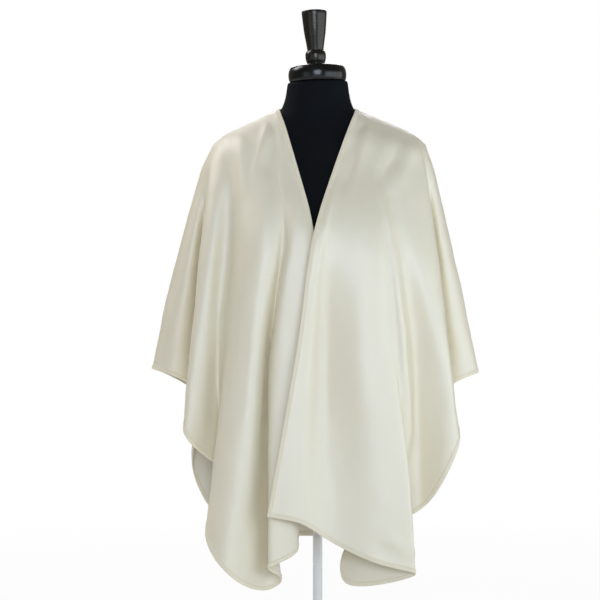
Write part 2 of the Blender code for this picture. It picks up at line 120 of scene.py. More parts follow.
class Spread(NamedTuple):
    """A quantity's least value, and how much a mask adds to it."""

    least: float
    added: float

    def over(self, mask: Value) -> Value:
        """The quantity where the mask lies over the surface."""
        return self.least + self.added * mask


class Shader:
    """A material and the nodes that feed its Principled shader."""

    # The Wave texture multiplies its place by this, beside its own scale.
    WAVE_FACTOR = 20

    def __init__(self, name: str) -> None:
        """Makes an empty material of that name."""
        self.material = bpy.data.materials.new(name)
        self.material.use_nodes = True
        self.tree = self.material.node_tree
        self.principled = self.tree.nodes["Principled BSDF"]

    def node(self, kind: str, settings: dict[str, Any] | None = None,
             inputs: dict[str | int, Any] | None = None) -> bpy.types.Node:
        """Adds a node.

        Args:
            kind: the node's type.
            settings: its own settings, set before its sockets.
            inputs: values or links for its sockets, by name or number.

        Returns:
            The new node.
        """
        node = self.tree.nodes.new(kind)
        for name, setting in (settings or {}).items():
            setattr(node, name, setting)
        for name, value in (inputs or {}).items():
            if isinstance(value, Value):
                self.tree.links.new(value.socket, node.inputs[name])
            else:
                node.inputs[name].default_value = value
        return node

    def place(self) -> Value:
        """The point's place on the object, in metres."""
        return Value(self, self.node("ShaderNodeTexCoord").outputs["Object"])

    def cloth_place(self) -> Value:
        """The point's place on the flat cloth, in metres."""
        return Value(self, self.node("ShaderNodeUVMap", {"uv_map": ClothSheet.UV_NAME}).outputs["UV"])

    def stretched(self, place: Value, scale: Place3 = (1, 1, 1), turn: float = 0.0) -> Value:
        """The place with its axes scaled, and turned about Z."""
        node = self.node("ShaderNodeMapping", None,
                         {"Vector": place, "Scale": scale, "Rotation": (0.0, 0.0, turn)})
        return Value(self, node.outputs["Vector"])

    def cloud(self, place: Value, grain: Grain) -> Value:
        """The grain as noise from 0 to 1, about 0.5."""
        node = self.node("ShaderNodeTexNoise", None, {
            "Vector": place, "Scale": grain.scale, "Detail": grain.detail, "Roughness": grain.roughness})
        return Value(self, node.outputs[0])

    def patches(self, place: Value, grain: Grain) -> Value:
        """The grain as patches: 0 below its fade, 1 above it."""
        return self.cloud(place, grain).between(*grain.fade)

    def ribs(self, place: Value, pitch: float, waver: float = 0.0) -> Value:
        """Even ribs from 0 to 1 that follow each other along the place's X axis, a pitch apart."""
        node = self.node("ShaderNodeTexWave", {"bands_direction": "X"},
                         {"Vector": place, "Scale": 2 * math.pi / (self.WAVE_FACTOR * pitch),
                          "Distortion": waver, "Detail": 1.0})
        return Value(self, node.outputs["Fac"])

    def blend(self, factor: Any, low: Any, high: Any) -> Value:
        """A colour between two others."""
        low, high = ((*c, 1.0) if isinstance(c, tuple) else c for c in (low, high))
        node = self.node("ShaderNodeMix", {"data_type": "RGBA"}, {0: factor, 6: low, 7: high})
        return Value(self, node.outputs[2])

    def bump(self, height: Value, relief: Relief, under: Value | None = None) -> Value:
        """A normal bent by a height of 0 to 1 times the relief's depth."""
        inputs = {"Height": height, "Distance": relief.depth, "Strength": relief.strength}
        if under is not None:
            inputs["Normal"] = under
        return Value(self, self.node("ShaderNodeBump", None, inputs).outputs["Normal"])

    def finish(self, **sockets: Any) -> bpy.types.Material:
        """Sets the Principled shader's sockets.

        Args:
            sockets: values or links, by socket name with _ for a space.

        Returns:
            The material.
        """
        for name, value in sockets.items():
            socket = self.principled.inputs[name.replace("_", " ")]
            if isinstance(value, Value):
                self.tree.links.new(value.socket, socket)
            elif isinstance(value, tuple):
                socket.default_value = (*value, 1.0)
            else:
                socket.default_value = value
        return self.material


# ---------------------------------------------------------------- finishes


@dataclass(frozen=True)
class WoolFinish:
    """Felted ivory wool: a fine twill under a soft nap, a little uneven in tone."""

    colour: Colour = (0.797, 0.738, 0.562)
    warm_colour: Colour = (0.777, 0.705, 0.500)
    mottle: Grain = Grain(11, 3, 0.55, (0.30, 0.72))
    mottle_share: float = 0.30
    fibre: Grain = Grain(900, 2, 0.6, (0.25, 0.75))
    fibre_share: float = 0.18
    lay: float = math.radians(38)
    twill_pitch: float = 0.0021
    twill_waver: float = 1.2
    twill_relief: Relief = Relief(0.00025, 0.30)
    nap: Grain = Grain(420, 4, 0.65)
    nap_stretch: Place3 = (1, 0.55, 1)
    nap_relief: Relief = Relief(0.0006, 0.35)
    roughness: Spread = Spread(0.46, 0.12)

    def material(self) -> bpy.types.Material:
        """Makes the material."""
        shader = Shader("ivory felted wool")
        cloth = shader.cloth_place()
        twill = shader.ribs(shader.stretched(cloth, turn=self.lay), self.twill_pitch, self.twill_waver)
        nap = shader.cloud(shader.stretched(cloth, self.nap_stretch, self.lay), self.nap)
        warmth = (self.mottle_share * shader.patches(shader.place(), self.mottle)
                  + self.fibre_share * shader.patches(cloth, self.fibre))
        normal = shader.bump(nap, self.nap_relief, shader.bump(twill, self.twill_relief))
        return shader.finish(Base_Color=shader.blend(warmth, self.colour, self.warm_colour),
                             Roughness=self.roughness.over(nap), Normal=normal,
                             IOR=2.0, Specular_IOR_Level=0.80, Sheen_Weight=0.15, Sheen_Roughness=0.45,
                             Sheen_Tint=(1.0, 0.98, 0.94))


@dataclass(frozen=True)
class BindingFinish:
    """The turned edge: the same wool pressed flat, a little creamier, with a fine cross rib whose grooves are
    painted in shade.
    """

    colour: Colour = (0.84, 0.775, 0.600)
    shade: Colour = (0.79, 0.715, 0.525)
    mottle: Grain = Grain(60)
    mottle_share: float = 0.30
    rib_pitch: float = 0.0017
    rib_waver: float = 0.6
    rib_share: float = 0.35
    rib_relief: Relief = Relief(0.0002, 0.5)
    nap: Grain = Grain(700, 3, 0.6)
    nap_relief: Relief = Relief(0.0003, 0.4)
    roughness: Spread = Spread(0.60, 0.20)

    def material(self) -> bpy.types.Material:
        """Makes the material."""
        shader = Shader("ivory wool edge")
        along = shader.cloth_place()
        ribs = shader.ribs(along, self.rib_pitch, self.rib_waver)
        nap = shader.cloud(along, self.nap)
        # Painted shade: the colour darkens towards the shade colour in the rib's grooves, and is also mottled
        # at random.
        shade = (self.rib_share * (1 - ribs)
                 + self.mottle_share * shader.cloud(shader.place(), self.mottle))
        normal = shader.bump(nap, self.nap_relief, shader.bump(ribs, self.rib_relief))
        return shader.finish(Base_Color=shader.blend(shade, self.colour, self.shade),
                             Roughness=self.roughness.over(nap), Normal=normal,
                             Specular_IOR_Level=0.30, Sheen_Weight=0.20, Sheen_Roughness=0.5)


@dataclass(frozen=True)
class ThreadFinish:
    """Twisted sewing thread."""

    colour: Colour = (0.78, 0.74, 0.63)
    shade: Colour = (0.64, 0.59, 0.47)
    twist_pitch: float = 0.0006
    twist_angle: float = math.radians(50)
    twist_waver: float = 0.4
    twist_relief: Relief = Relief(0.0001, 0.5)
    roughness: Spread = Spread(0.45, 0.15)

    def material(self) -> bpy.types.Material:
        """Makes the material."""
        shader = Shader("ivory thread")
        place = shader.stretched(shader.place(), turn=self.twist_angle)
        twist = shader.ribs(place, self.twist_pitch, self.twist_waver)
        # Painted shade: the colour goes over to the darker shade colour along the twist.
        return shader.finish(Base_Color=shader.blend(twist, self.colour, self.shade),
                             Roughness=self.roughness.over(twist),
                             Normal=shader.bump(twist, self.twist_relief))


@dataclass(frozen=True)
class JerseyFinish:
    """Black knitted jersey, stretched smooth: fine vertical ribs with a painted highlight on their crests,
    lighter worn patches and a little lint.
    """

    colour: Colour = (0.0019, 0.0029, 0.0044)
    rib_highlight_and_wear: Colour = (0.0048, 0.0062, 0.0085)
    lint_colour: Colour = (0.05, 0.05, 0.05)
    rib_pitch: float = 0.0012
    rib_waver: float = 0.4
    rib_share: float = 0.55
    rib_relief: Relief = Relief(0.00025, 0.5)
    loop: Grain = Grain(950)
    loop_stretch: Place3 = (1, 1, 0.35)
    loop_relief: Relief = Relief(0.0003, 0.4)
    wear: Grain = Grain(14, 3, 0.6, (0.35, 0.75))
    wear_share: float = 0.35
    lint: Grain = Grain(340, 1, 0.4, (0.80, 0.86))
    lint_share: float = 0.4
    roughness: Spread = Spread(0.70, 0.16)

    def material(self) -> bpy.types.Material:
        """Makes the material."""
        shader = Shader("black jersey")
        place = shader.place()
        ribs = shader.ribs(place, self.rib_pitch, self.rib_waver)
        loops = shader.cloud(shader.stretched(place, self.loop_stretch), self.loop)
        # Painted highlight: the rib crests turn lighter, and so do worn patches at random.
        light = self.rib_share * ribs + self.wear_share * shader.patches(place, self.wear)
        knit = shader.blend(light, self.colour, self.rib_highlight_and_wear)
        lint = self.lint_share * shader.patches(place, self.lint)
        normal = shader.bump(loops, self.loop_relief, shader.bump(ribs, self.rib_relief))
        return shader.finish(Base_Color=shader.blend(lint, knit, self.lint_colour),
                             Roughness=self.roughness.over(loops), Normal=normal,
                             Specular_IOR_Level=0.10, Sheen_Weight=0.02, Sheen_Roughness=0.4,
                             Sheen_Tint=(0.75, 0.85, 1.0))


class Gloss(Enum):
    """How a lacquered piece was polished: its roughness, with more where it is rubbed."""

    POLISHED = Spread(0.19, 0.03)
    SATIN = Spread(0.25, 0.03)


@dataclass(frozen=True)
class LacquerFinish:
    """Dark lacquer over turned wood, with faint turning marks and rubbed patches."""

    name: str
    gloss: Gloss
    colour: Colour = (0.0026, 0.0027, 0.0034)
    rubbed: Colour = (0.0060, 0.0058, 0.0058)
    specular: float = 0.42
    tint: Colour = (1.0, 1.0, 1.0)
    ring: Grain = Grain(900)
    ring_stretch: Place3 = (0.05, 0.05, 1)
    ring_relief: Relief = Relief(0.00001, 0.2)
    rub: Grain = Grain(38, 3, 0.6, (0.35, 0.70))
    rub_share: float = 0.7

    def material(self) -> bpy.types.Material:
        """Makes the material."""
        shader = Shader(self.name)
        place = shader.place()
        rings = shader.cloud(shader.stretched(place, self.ring_stretch), self.ring)
        rubs = shader.patches(place, self.rub)
        return shader.finish(Base_Color=shader.blend(self.rub_share * rubs, self.colour, self.rubbed),
                             Roughness=self.gloss.value.over(rubs), Specular_IOR_Level=self.specular,
                             Specular_Tint=self.tint, Normal=shader.bump(rings, self.ring_relief))


@dataclass(frozen=True)
class EnamelFinish:
    """White baked enamel with a slight orange peel and scuffs."""

    colour: Colour = (0.84, 0.84, 0.82)
    scuffed: Colour = (0.74, 0.735, 0.71)
    scuff: Grain = Grain(22, 4, 0.65, (0.52, 0.78))
    scuff_share: float = 0.6
    peel: Grain = Grain(260)
    peel_relief: Relief = Relief(0.0002, 0.3)
    roughness: Spread = Spread(0.26, 0.18)

    def material(self) -> bpy.types.Material:
        """Makes the material."""
        shader = Shader("white enamel")
        place = shader.place()
        scuffs = shader.patches(place, self.scuff)
        normal = shader.bump(shader.cloud(place, self.peel), self.peel_relief)
        return shader.finish(Base_Color=shader.blend(self.scuff_share * scuffs, self.colour, self.scuffed),
                             Roughness=self.roughness.over(scuffs), Normal=normal)


@dataclass(frozen=True)
class FloorFinish:
    """A pale studio floor that goes over into the white backdrop."""

    colour: Colour = (0.90, 0.90, 0.90)
    speckled: Colour = (0.86, 0.86, 0.86)
    speckle: Grain = Grain(30)
    speckle_share: float = 0.1
    glow: Spread = Spread(0.90, 0.10)
    glow_reach: Place = (0.5, 2.4)

    def material(self) -> bpy.types.Material:
        """Makes the material: seen by the camera it glows, most of all further out."""
        shader = Shader("studio floor")
        speckles = self.speckle_share * shader.cloud(shader.place(), self.speckle)
        shader.finish(Base_Color=shader.blend(speckles, self.colour, self.speckled), Roughness=0.85)
        seen = Value(shader, shader.node("ShaderNodeLightPath").outputs["Is Camera Ray"])
        away = Value(shader, shader.node("ShaderNodeVectorMath", {"operation": "LENGTH"},
                                         {0: shader.place()}).outputs["Value"])
        glow = self.glow.over(away.between(*self.glow_reach)) * seen
        white = shader.node("ShaderNodeEmission", None, {"Color": (1, 1, 1, 1), "Strength": 1.0})
        mix = shader.node("ShaderNodeMixShader", None, {
            0: glow, 1: Value(shader, shader.principled.outputs[0]), 2: Value(shader, white.outputs[0])})
        shader.tree.links.new(mix.outputs[0], shader.tree.nodes["Material Output"].inputs["Surface"])
        return shader.material


# ---------------------------------------------------------------- shared tools


def curve_through(knots: Sequence[float], values: Any, places: Any) -> np.ndarray:
    """A smooth curve: a cubic between each two knots, its slope at a knot weighed from both sides.

    Args:
        knots: where the values stand, rising.
        values: one row for each knot.
        places: where the curve is wanted.

    Returns:
        One row for each place.
    """
    knots, values = np.asarray(knots, float), np.asarray(values, float)
    steps = np.diff(knots)
    slopes = np.diff(values, axis=0) / steps[:, None]
    tangents = np.empty_like(values)
    tangents[0], tangents[-1] = slopes[0], slopes[-1]
    weight = (steps[1:] / (steps[1:] + steps[:-1]))[:, None]
    tangents[1:-1] = weight * slopes[:-1] + (1 - weight) * slopes[1:]
    span = np.clip(np.searchsorted(knots, places, side="right") - 1, 0, len(steps) - 1)
    t = ((np.asarray(places) - knots[span]) / steps[span])[:, None]
    step = steps[span][:, None]
    start_pull, end_pull = tangents[span] * step, tangents[span + 1] * step
    return (values[span] * (2 * t**3 - 3 * t**2 + 1) + start_pull * (t**3 - 2 * t**2 + t)
            + values[span + 1] * (3 * t**2 - 2 * t**3) + end_pull * (t**3 - t**2))


def running_length(points: np.ndarray, power: float = 1.0) -> np.ndarray:
    """How far along its line each point lies, each step taken to a power.

    A power of 0.5 spaces a curve's knots so that it doesn't swing out between close points.
    """
    steps = np.linalg.norm(np.diff(points, axis=0), axis=1) ** power
    return np.concatenate(([0], np.cumsum(steps)))


def unit(vectors: np.ndarray) -> np.ndarray:
    """The vectors, each of length 1."""
    return vectors / np.maximum(np.linalg.norm(vectors, axis=-1, keepdims=True), 1e-9)


def vertex_normals(mesh: bpy.types.Mesh) -> np.ndarray:
    """The mesh's normals, one row for each vertex."""
    normals = np.empty(len(mesh.vertices) * 3)
    mesh.vertices.foreach_get("normal", normals)
    return normals.reshape(-1, 3)


class Workbench:
    """Blender's own tools, used on one piece at a time."""

    SMOOTH_ANGLE = math.radians(38)

    @staticmethod
    def take(piece: bpy.types.Object) -> None:
        """Makes the piece the only one that operators act on."""
        bpy.ops.object.select_all(action="DESELECT")
        piece.select_set(True)
        bpy.context.view_layer.objects.active = piece

    @staticmethod
    def from_mesh(name: str, points: np.ndarray, faces: Sequence[Sequence[int]]) -> bpy.types.Object:
        """A piece made of points and faces."""
        mesh = bpy.data.meshes.new(name)
        mesh.from_pydata(points.reshape(-1, 3).tolist(), [], faces)
        piece = bpy.data.objects.new(name, mesh)
        bpy.context.scene.collection.objects.link(piece)
        return piece

    @staticmethod
    def edit(piece: bpy.types.Object, operator: Callable[..., Any], **options: Any) -> None:
        """Runs one edit-mode operator, with its options, on the whole piece."""
        Workbench.take(piece)
        bpy.ops.object.mode_set(mode="EDIT")
        bpy.ops.mesh.select_all(action="SELECT")
        operator(**options)
        bpy.ops.object.mode_set(mode="OBJECT")

    @staticmethod
    def face_outward(piece: bpy.types.Object) -> None:
        """Turns all of a closed piece's faces outward."""
        Workbench.edit(piece, bpy.ops.mesh.normals_make_consistent, inside=False)

    @staticmethod
    def apply_modifiers(piece: bpy.types.Object) -> None:
        """Applies the piece's modifiers in their order."""
        Workbench.take(piece)
        for modifier in list(piece.modifiers):
            bpy.ops.object.modifier_apply(modifier=modifier.name)

    @staticmethod
    def dress(piece: bpy.types.Object, material: bpy.types.Material, slot: str,
              replaces: Sequence[str] = (), smooth: float = SMOOTH_ANGLE) -> bpy.types.Object:
        """Gives a finished piece its shading, material and body, and hides the solids that it stands for.

        Args:
            piece: the piece, in its place.
            material: its material.
            slot: the record's material slot; not used.
            replaces: the solids that it stands for.
            smooth: edges sharper than this angle stay sharp.

        Returns:
            The piece.
        """
        Workbench.take(piece)
        piece.data.materials.clear()
        piece.data.materials.append(material)
        bpy.ops.object.shade_smooth_by_angle(angle=smooth)
        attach(piece, BODY)
        if replaces:
            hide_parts(*replaces)
        LOG.info("%s: %d faces", piece.name, len(piece.data.polygons))
        return piece


class TurnedPoint(NamedTuple):
    """A point of a turned profile: radius and height."""

    radius: float
    height: float


@dataclass
class TurnedPiece:
    """A piece turned on a lathe, from a profile that rises from its foot."""

    name: str
    profile: Sequence[TurnedPoint]
    sides: int = 80
    stand_at: Place3 = (0.0, 0.0, 0.0)
    lean: float = 0.0

    def build(self) -> bpy.types.Object:
        """Raises the profile ring by ring from a disc.

        Returns:
            The piece, in its place.
        """
        bpy.ops.object.select_all(action="DESELECT")
        foot = self.profile[0]
        bpy.ops.mesh.primitive_circle_add(vertices=self.sides, radius=foot.radius, fill_type="NGON",
                                          location=(0, 0, foot.height))
        piece = bpy.context.object
        piece.name = piece.data.name = self.name
        bpy.ops.object.mode_set(mode="EDIT")
        bpy.ops.mesh.select_all(action="SELECT")
        for below, above in zip(self.profile, self.profile[1:]):
            bpy.ops.mesh.extrude_region_move(
                TRANSFORM_OT_translate={"value": (0, 0, above.height - below.height)})
            ratio = above.radius / below.radius
            bpy.ops.transform.resize(value=(ratio, ratio, 1), center_override=(0, 0, above.height))
        bpy.ops.object.mode_set(mode="OBJECT")
        Workbench.face_outward(piece)
        bpy.ops.object.transform_apply(location=True, rotation=True, scale=True)
        piece.location = self.stand_at
        piece.rotation_euler = (0, -self.lean, 0)
        bpy.ops.object.transform_apply(location=True, rotation=True, scale=True)
        return piece


def rounded_profile(points: Sequence[TurnedPoint], steps: int) -> list[TurnedPoint]:
    """A profile drawn as a smooth curve through its points, with that many steps between them."""
    table = np.array(points)
    run = running_length(table, 0.5)
    places = np.unique(np.concatenate((run, np.linspace(0, run[-1], steps))).round(9))
    return [TurnedPoint(*point) for point in curve_through(run, table, places)]


def eased_side(radius: float, foot: float, top: float, easing: Sequence[Place]) -> list[TurnedPoint]:
    """The upright side of a turned piece, its two edges eased alike.

    Args:
        radius: the side's radius.
        foot: the height of its lower face.
        top: the height of its upper face.
        easing: points round an edge, from its face to the side: how far in, and how far from the face.

    Returns:
        The profile.
    """
    low = [TurnedPoint(radius - inset, foot + rise) for inset, rise in easing]
    high = [TurnedPoint(radius - inset, top - rise) for inset, rise in reversed(easing)]
    return low + high


# ---------------------------------------------------------------- the dress form


class FormSection(NamedTuple):
    """A horizontal section of the torso: how far it reaches, and how square it is (2 is an ellipse)."""

    height: float
    half_width: float
    front: float
    back: float
    squareness: float


@dataclass
class DressForm:
    """A limbless black form: a jersey torso, and a lacquered cap and finial on its neck.

    The cap's and the finial's heights are measured from the neck's top. Rim_insets keep the edges of the
    torso's flat ends crisp when it is smoothed.
    """

    sections: tuple[FormSection, ...] = (
        FormSection(0.3450, 0.146, 0.090, 0.092, 2.2),
        FormSection(0.3500, 0.154, 0.098, 0.100, 2.2),
        FormSection(0.3700, 0.161, 0.104, 0.106, 2.2),
        FormSection(0.4300, 0.166, 0.107, 0.112, 2.2),
        FormSection(0.5000, 0.150, 0.098, 0.098, 2.2),
        FormSection(0.5650, 0.126, 0.087, 0.080, 2.2),
        FormSection(0.6300, 0.131, 0.098, 0.084, 2.2),
        FormSection(0.6950, 0.146, 0.122, 0.096, 2.3),
        FormSection(0.7400, 0.154, 0.132, 0.102, 2.4),
        FormSection(0.7900, 0.160, 0.118, 0.108, 2.4),
        FormSection(0.8400, 0.172, 0.094, 0.110, 2.4),
        FormSection(0.8750, 0.184, 0.079, 0.101, 2.3),
        FormSection(0.8950, 0.188, 0.069, 0.091, 2.2),
        FormSection(0.9080, 0.182, 0.063, 0.084, 2.1),
        FormSection(0.9210, 0.165, 0.058, 0.078, 2.0),
        FormSection(0.9365, 0.136, 0.053, 0.071, 2.0),
        FormSection(0.9530, 0.099, 0.050, 0.064, 2.0),
        FormSection(0.9670, 0.0740, 0.049, 0.059, 2.0),
        FormSection(0.9810, 0.0655, 0.049, 0.056, 2.0),
        FormSection(1.0000, 0.0605, 0.049, 0.053, 2.0),
        FormSection(1.0235, 0.0575, 0.049, 0.051, 2.0),
    )
    cap_profile: tuple[TurnedPoint, ...] = (
        TurnedPoint(0.0505, 0.0003),
        TurnedPoint(0.0528, 0.0020),
        TurnedPoint(0.0541, 0.0050),
        TurnedPoint(0.0549, 0.0095),
        TurnedPoint(0.0551, 0.0140),
        TurnedPoint(0.0547, 0.0190),
        TurnedPoint(0.0533, 0.0240),
        TurnedPoint(0.0507, 0.0282),
        TurnedPoint(0.0468, 0.0308),
        TurnedPoint(0.0425, 0.0320),
    )
    finial_profile: tuple[TurnedPoint, ...] = (
        TurnedPoint(0.0160, 0.0323),
        TurnedPoint(0.0170, 0.0370),
        TurnedPoint(0.0187, 0.0420),
        TurnedPoint(0.0195, 0.0480),
        TurnedPoint(0.0193, 0.0540),
        TurnedPoint(0.0175, 0.0585),
        TurnedPoint(0.0155, 0.0605),
        TurnedPoint(0.0158, 0.0640),
        TurnedPoint(0.0175, 0.0760),
        TurnedPoint(0.0205, 0.0950),
        TurnedPoint(0.0232, 0.1230),
        TurnedPoint(0.0238, 0.1310),
        TurnedPoint(0.0232, 0.1355),
        TurnedPoint(0.0205, 0.1370),
    )
    head_lean: float = math.radians(2.0)
    finial_centre: float = -0.0020
    cap_steps: int = 22
    finial_steps: int = 44
    finial_sides: int = 64
    clearing_passes: int = 8
    slope_step: float = 0.0005
    furthest_move: float = 0.020
    merge_distance: float = 0.00002
    flat_normal: float = 0.98
    rim_insets: Place = (0.003, 0.012)
    quad_angle: float = math.radians(60)

    def outline(self, heights: np.ndarray) -> np.ndarray:
        """Half width, front, back and squareness of the torso at each height."""
        table = np.array(self.sections)
        low, high = table[0, 0], table[-1, 0]
        return curve_through(table[:, 0], table[:, 1:], np.clip(heights, low, high))

    def reach(self, points: np.ndarray) -> np.ndarray:
        """How far out each point lies, as a share of the section's own size, less 1."""
        half_width, front, back, squareness = self.outline(points[:, 2]).T
        across = np.abs(points[:, 0]) / half_width
        along = np.abs(points[:, 1]) / np.where(points[:, 1] < 0, front, back)
        return (across**squareness + along**squareness) ** (1 / squareness) - 1

    def kept_clear(self, points: np.ndarray, clearance: float) -> np.ndarray:
        """Moves points straight off the torso, in a few passes, until they stand clear of it.

        Args:
            points: any array of points.
            clearance: the least distance.

        Returns:
            The moved points, in the same array shape.
        """
        flat, step = points.reshape(-1, 3).copy(), self.slope_step
        for _ in range(self.clearing_passes):
            slope = np.stack([(self.reach(flat + step * axis) - self.reach(flat - step * axis)) / (2 * step)
                              for axis in np.eye(3)], axis=1)
            steepness = np.linalg.norm(slope, axis=1)
            short = np.clip(clearance - self.reach(flat) / steepness, 0, self.furthest_move)
            short[flat[:, 2] < self.sections[0].height] = 0
            flat += slope / steepness[:, None] * short[:, None]
        return flat.reshape(points.shape)

    def build_torso(self) -> bpy.types.Object:
        """A smooth skin over a copy of the torso's solid, with its floor and neck top kept flat.

        Returns:
            The piece.
        """
        piece = bpy.data.objects.new("jersey_torso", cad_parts["form_torso"].data.copy())
        bpy.context.scene.collection.objects.link(piece)
        Workbench.edit(piece, bpy.ops.mesh.remove_doubles, threshold=self.merge_distance)
        Workbench.face_outward(piece)
        Workbench.edit(piece, bpy.ops.mesh.select_all, action="DESELECT")
        for face in piece.data.polygons:
            face.select = abs(face.normal.z) > self.flat_normal
        bpy.ops.object.mode_set(mode="EDIT")
        bpy.ops.mesh.dissolve_faces()
        for inset in self.rim_insets:
            bpy.ops.mesh.inset(thickness=inset)
        bpy.ops.mesh.select_all(action="INVERT")
        bpy.ops.mesh.tris_convert_to_quads(face_threshold=self.quad_angle, shape_threshold=self.quad_angle)
        bpy.ops.object.mode_set(mode="OBJECT")
        smoothing = piece.modifiers.new("smoothing", "SUBSURF")
        smoothing.levels = smoothing.render_levels = 2
        Workbench.apply_modifiers(piece)
        return piece

    def build(self) -> None:
        """Builds and dresses the form's pieces."""
        neck_top = self.sections[-1].height
        cap = TurnedPiece("neck_cap", rounded_profile(self.cap_profile, self.cap_steps),
                          stand_at=(0, 0, neck_top), lean=self.head_lean)
        finial = TurnedPiece("turned_finial", rounded_profile(self.finial_profile, self.finial_steps),
                             sides=self.finial_sides, stand_at=(self.finial_centre, 0, neck_top),
                             lean=self.head_lean)
        polished = LacquerFinish("polished black lacquer", Gloss.POLISHED)
        satin = LacquerFinish("satin dark lacquer", Gloss.SATIN, colour=(0.0060, 0.0058, 0.0054),
                              rubbed=(0.012, 0.0115, 0.0105), specular=0.50, tint=(1.0, 0.93, 0.82))
        Workbench.dress(self.build_torso(), JerseyFinish().material(), "black_jersey", ["form_torso"])
        Workbench.dress(cap.build(), polished.material(), "black_lacquer", ["form_neck_cap"])
        Workbench.dress(finial.build(), satin.material(), "black_lacquer", ["form_finial"])


# ---------------------------------------------------------------- the cloth's folds


class Fold(NamedTuple):
    """One fold line: its place on the shoulder line, then x and y of the cloth's inner face at the
    chest, bust, waist and hip, and x, y and height of its hem."""

    name: str
    start: float
    chest: Place
    bust: Place
    waist: Place
    hip: Place
    hem: Place3


class ShoulderPoint(NamedTuple):
    """A point of the line where the cloth turns over the shoulders."""

    share: float
    right: float
    left: float
    y: float
    height: float


class Side(Enum):
    """A stretch of the cloth that creases lie on."""

    LEFT_FRONT = "left front"
    RIGHT_FRONT = "right front"
    BACK = "back"


class Crease(NamedTuple):
    """A soft trough (depth below 0) or ridge, drawn by points (x, height) on one side of the cloth.

    Skew leans it over to one side, and makes a rise beside a fall. Its lift follows half a wave from end
    to end: END is how far into the wave it starts and stops, FULLNESS how flat the wave's top is.
    """

    END = 0.12
    FULLNESS = 0.8

    points: tuple[Place, ...]
    depth: float
    width: float
    skew: float = 0.0

    def lift(self, across: np.ndarray, height: np.ndarray) -> np.ndarray:
        """How far the crease lifts each point: most along its line, fading beside it and to its ends.

        Args:
            across: the points' places across.
            height: their heights.

        Returns:
            The lifts, in the same array shape.
        """
        points = np.array(self.points)
        lengths = np.linalg.norm(np.diff(points, axis=0), axis=1)
        best = np.full(across.shape, np.inf)
        signed, along = np.zeros(across.shape), np.zeros(across.shape)
        done = 0.0
        for start, end, length in zip(points, points[1:], lengths):
            run = (end - start) / length
            x, z = across - start[0], height - start[1]
            share = np.clip(x * run[0] + z * run[1], 0, length)
            dx, dz = x - share * run[0], z - share * run[1]
            distance = np.hypot(dx, dz)
            nearer = distance < best
            best = np.where(nearer, distance, best)
            signed = np.where(nearer, np.sign(dx * run[1] - dz * run[0]) * distance, signed)
            along = np.where(nearer, (done + share) / lengths.sum(), along)
            done += length
        place = signed / self.width
        taper = np.sin(np.pi * (self.END + (1 - 2 * self.END) * along)) ** self.FULLNESS
        return self.depth * taper * np.exp(-place**2) * (1 + self.skew * place)


RIGHT_WING = Fold("wing ridge", 1.0, (-0.2180, 0.006), (-0.256, 0.006), (-0.282, 0.008), (-0.302, 0.012),
                  (-0.318, 0.015, 0.480))
LEFT_WING = Fold("wing ridge", 1.0, (0.2190, 0.006), (0.250, 0.006), (0.273, 0.008), (0.293, 0.012),
                 (0.310, 0.015, 0.473))

RIGHT_FRONT_FOLDS = (
    Fold("free edge", 0.00, (-0.0398, -0.082), (-0.009, -0.142), (-0.014, -0.138), (-0.026, -0.130),
         (-0.050, -0.124, 0.168)),
    Fold("edge roll", 0.10, (-0.050, -0.083), (-0.022, -0.146), (-0.026, -0.146), (-0.028, -0.143),
         (-0.031, -0.140, 0.154)),
    Fold("edge face", 0.16, (-0.060, -0.083), (-0.039, -0.147), (-0.052, -0.151), (-0.060, -0.152),
         (-0.065, -0.152, 0.130)),
    Fold("edge pleat", 0.28, (-0.075, -0.083), (-0.057, -0.143), (-0.080, -0.150), (-0.092, -0.154),
         (-0.099, -0.154, 0.119)),
    Fold("pleat return", 0.31, (-0.079, -0.083), (-0.062, -0.138), (-0.089, -0.126), (-0.084, -0.127),
         (-0.060, -0.124, 0.096)),
    Fold("deep valley", 0.34, (-0.083, -0.083), (-0.067, -0.137), (-0.0915, -0.1055), (-0.090, -0.102),
         (-0.086, -0.107, 0.074)),
    Fold("valley rise", 0.38, (-0.089, -0.083), (-0.075, -0.140), (-0.106, -0.136), (-0.1165, -0.141),
         (-0.122, -0.140, 0.079)),
    Fold("column front", 0.46, (-0.106, -0.082), (-0.101, -0.143), (-0.118, -0.153), (-0.143, -0.163),
         (-0.168, -0.166, 0.112)),
    Fold("column side", 0.60, (-0.132, -0.077), (-0.129, -0.128), (-0.151, -0.143), (-0.186, -0.139),
         (-0.208, -0.131, 0.177)),
    Fold("column back", 0.72, (-0.160, -0.068), (-0.170, -0.090), (-0.186, -0.088), (-0.181, -0.074),
         (-0.168, -0.066, 0.282)),
    Fold("outer face", 0.81, (-0.180, -0.058), (-0.194, -0.094), (-0.208, -0.106), (-0.211, -0.100),
         (-0.212, -0.086, 0.320)),
    Fold("outer fold", 0.88, (-0.198, -0.040), (-0.214, -0.077), (-0.227, -0.099), (-0.240, -0.107),
         (-0.249, -0.109, 0.361)),
    Fold("side valley", 0.92, (-0.205, -0.027), (-0.217, -0.012), (-0.222, -0.002), (-0.228, 0.006),
         (-0.232, 0.010, 0.440)),
    Fold("wing face", 0.96, (-0.212, -0.012), (-0.234, -0.029), (-0.250, -0.031), (-0.264, -0.027),
         (-0.275, -0.014, 0.468)),
    RIGHT_WING,
)

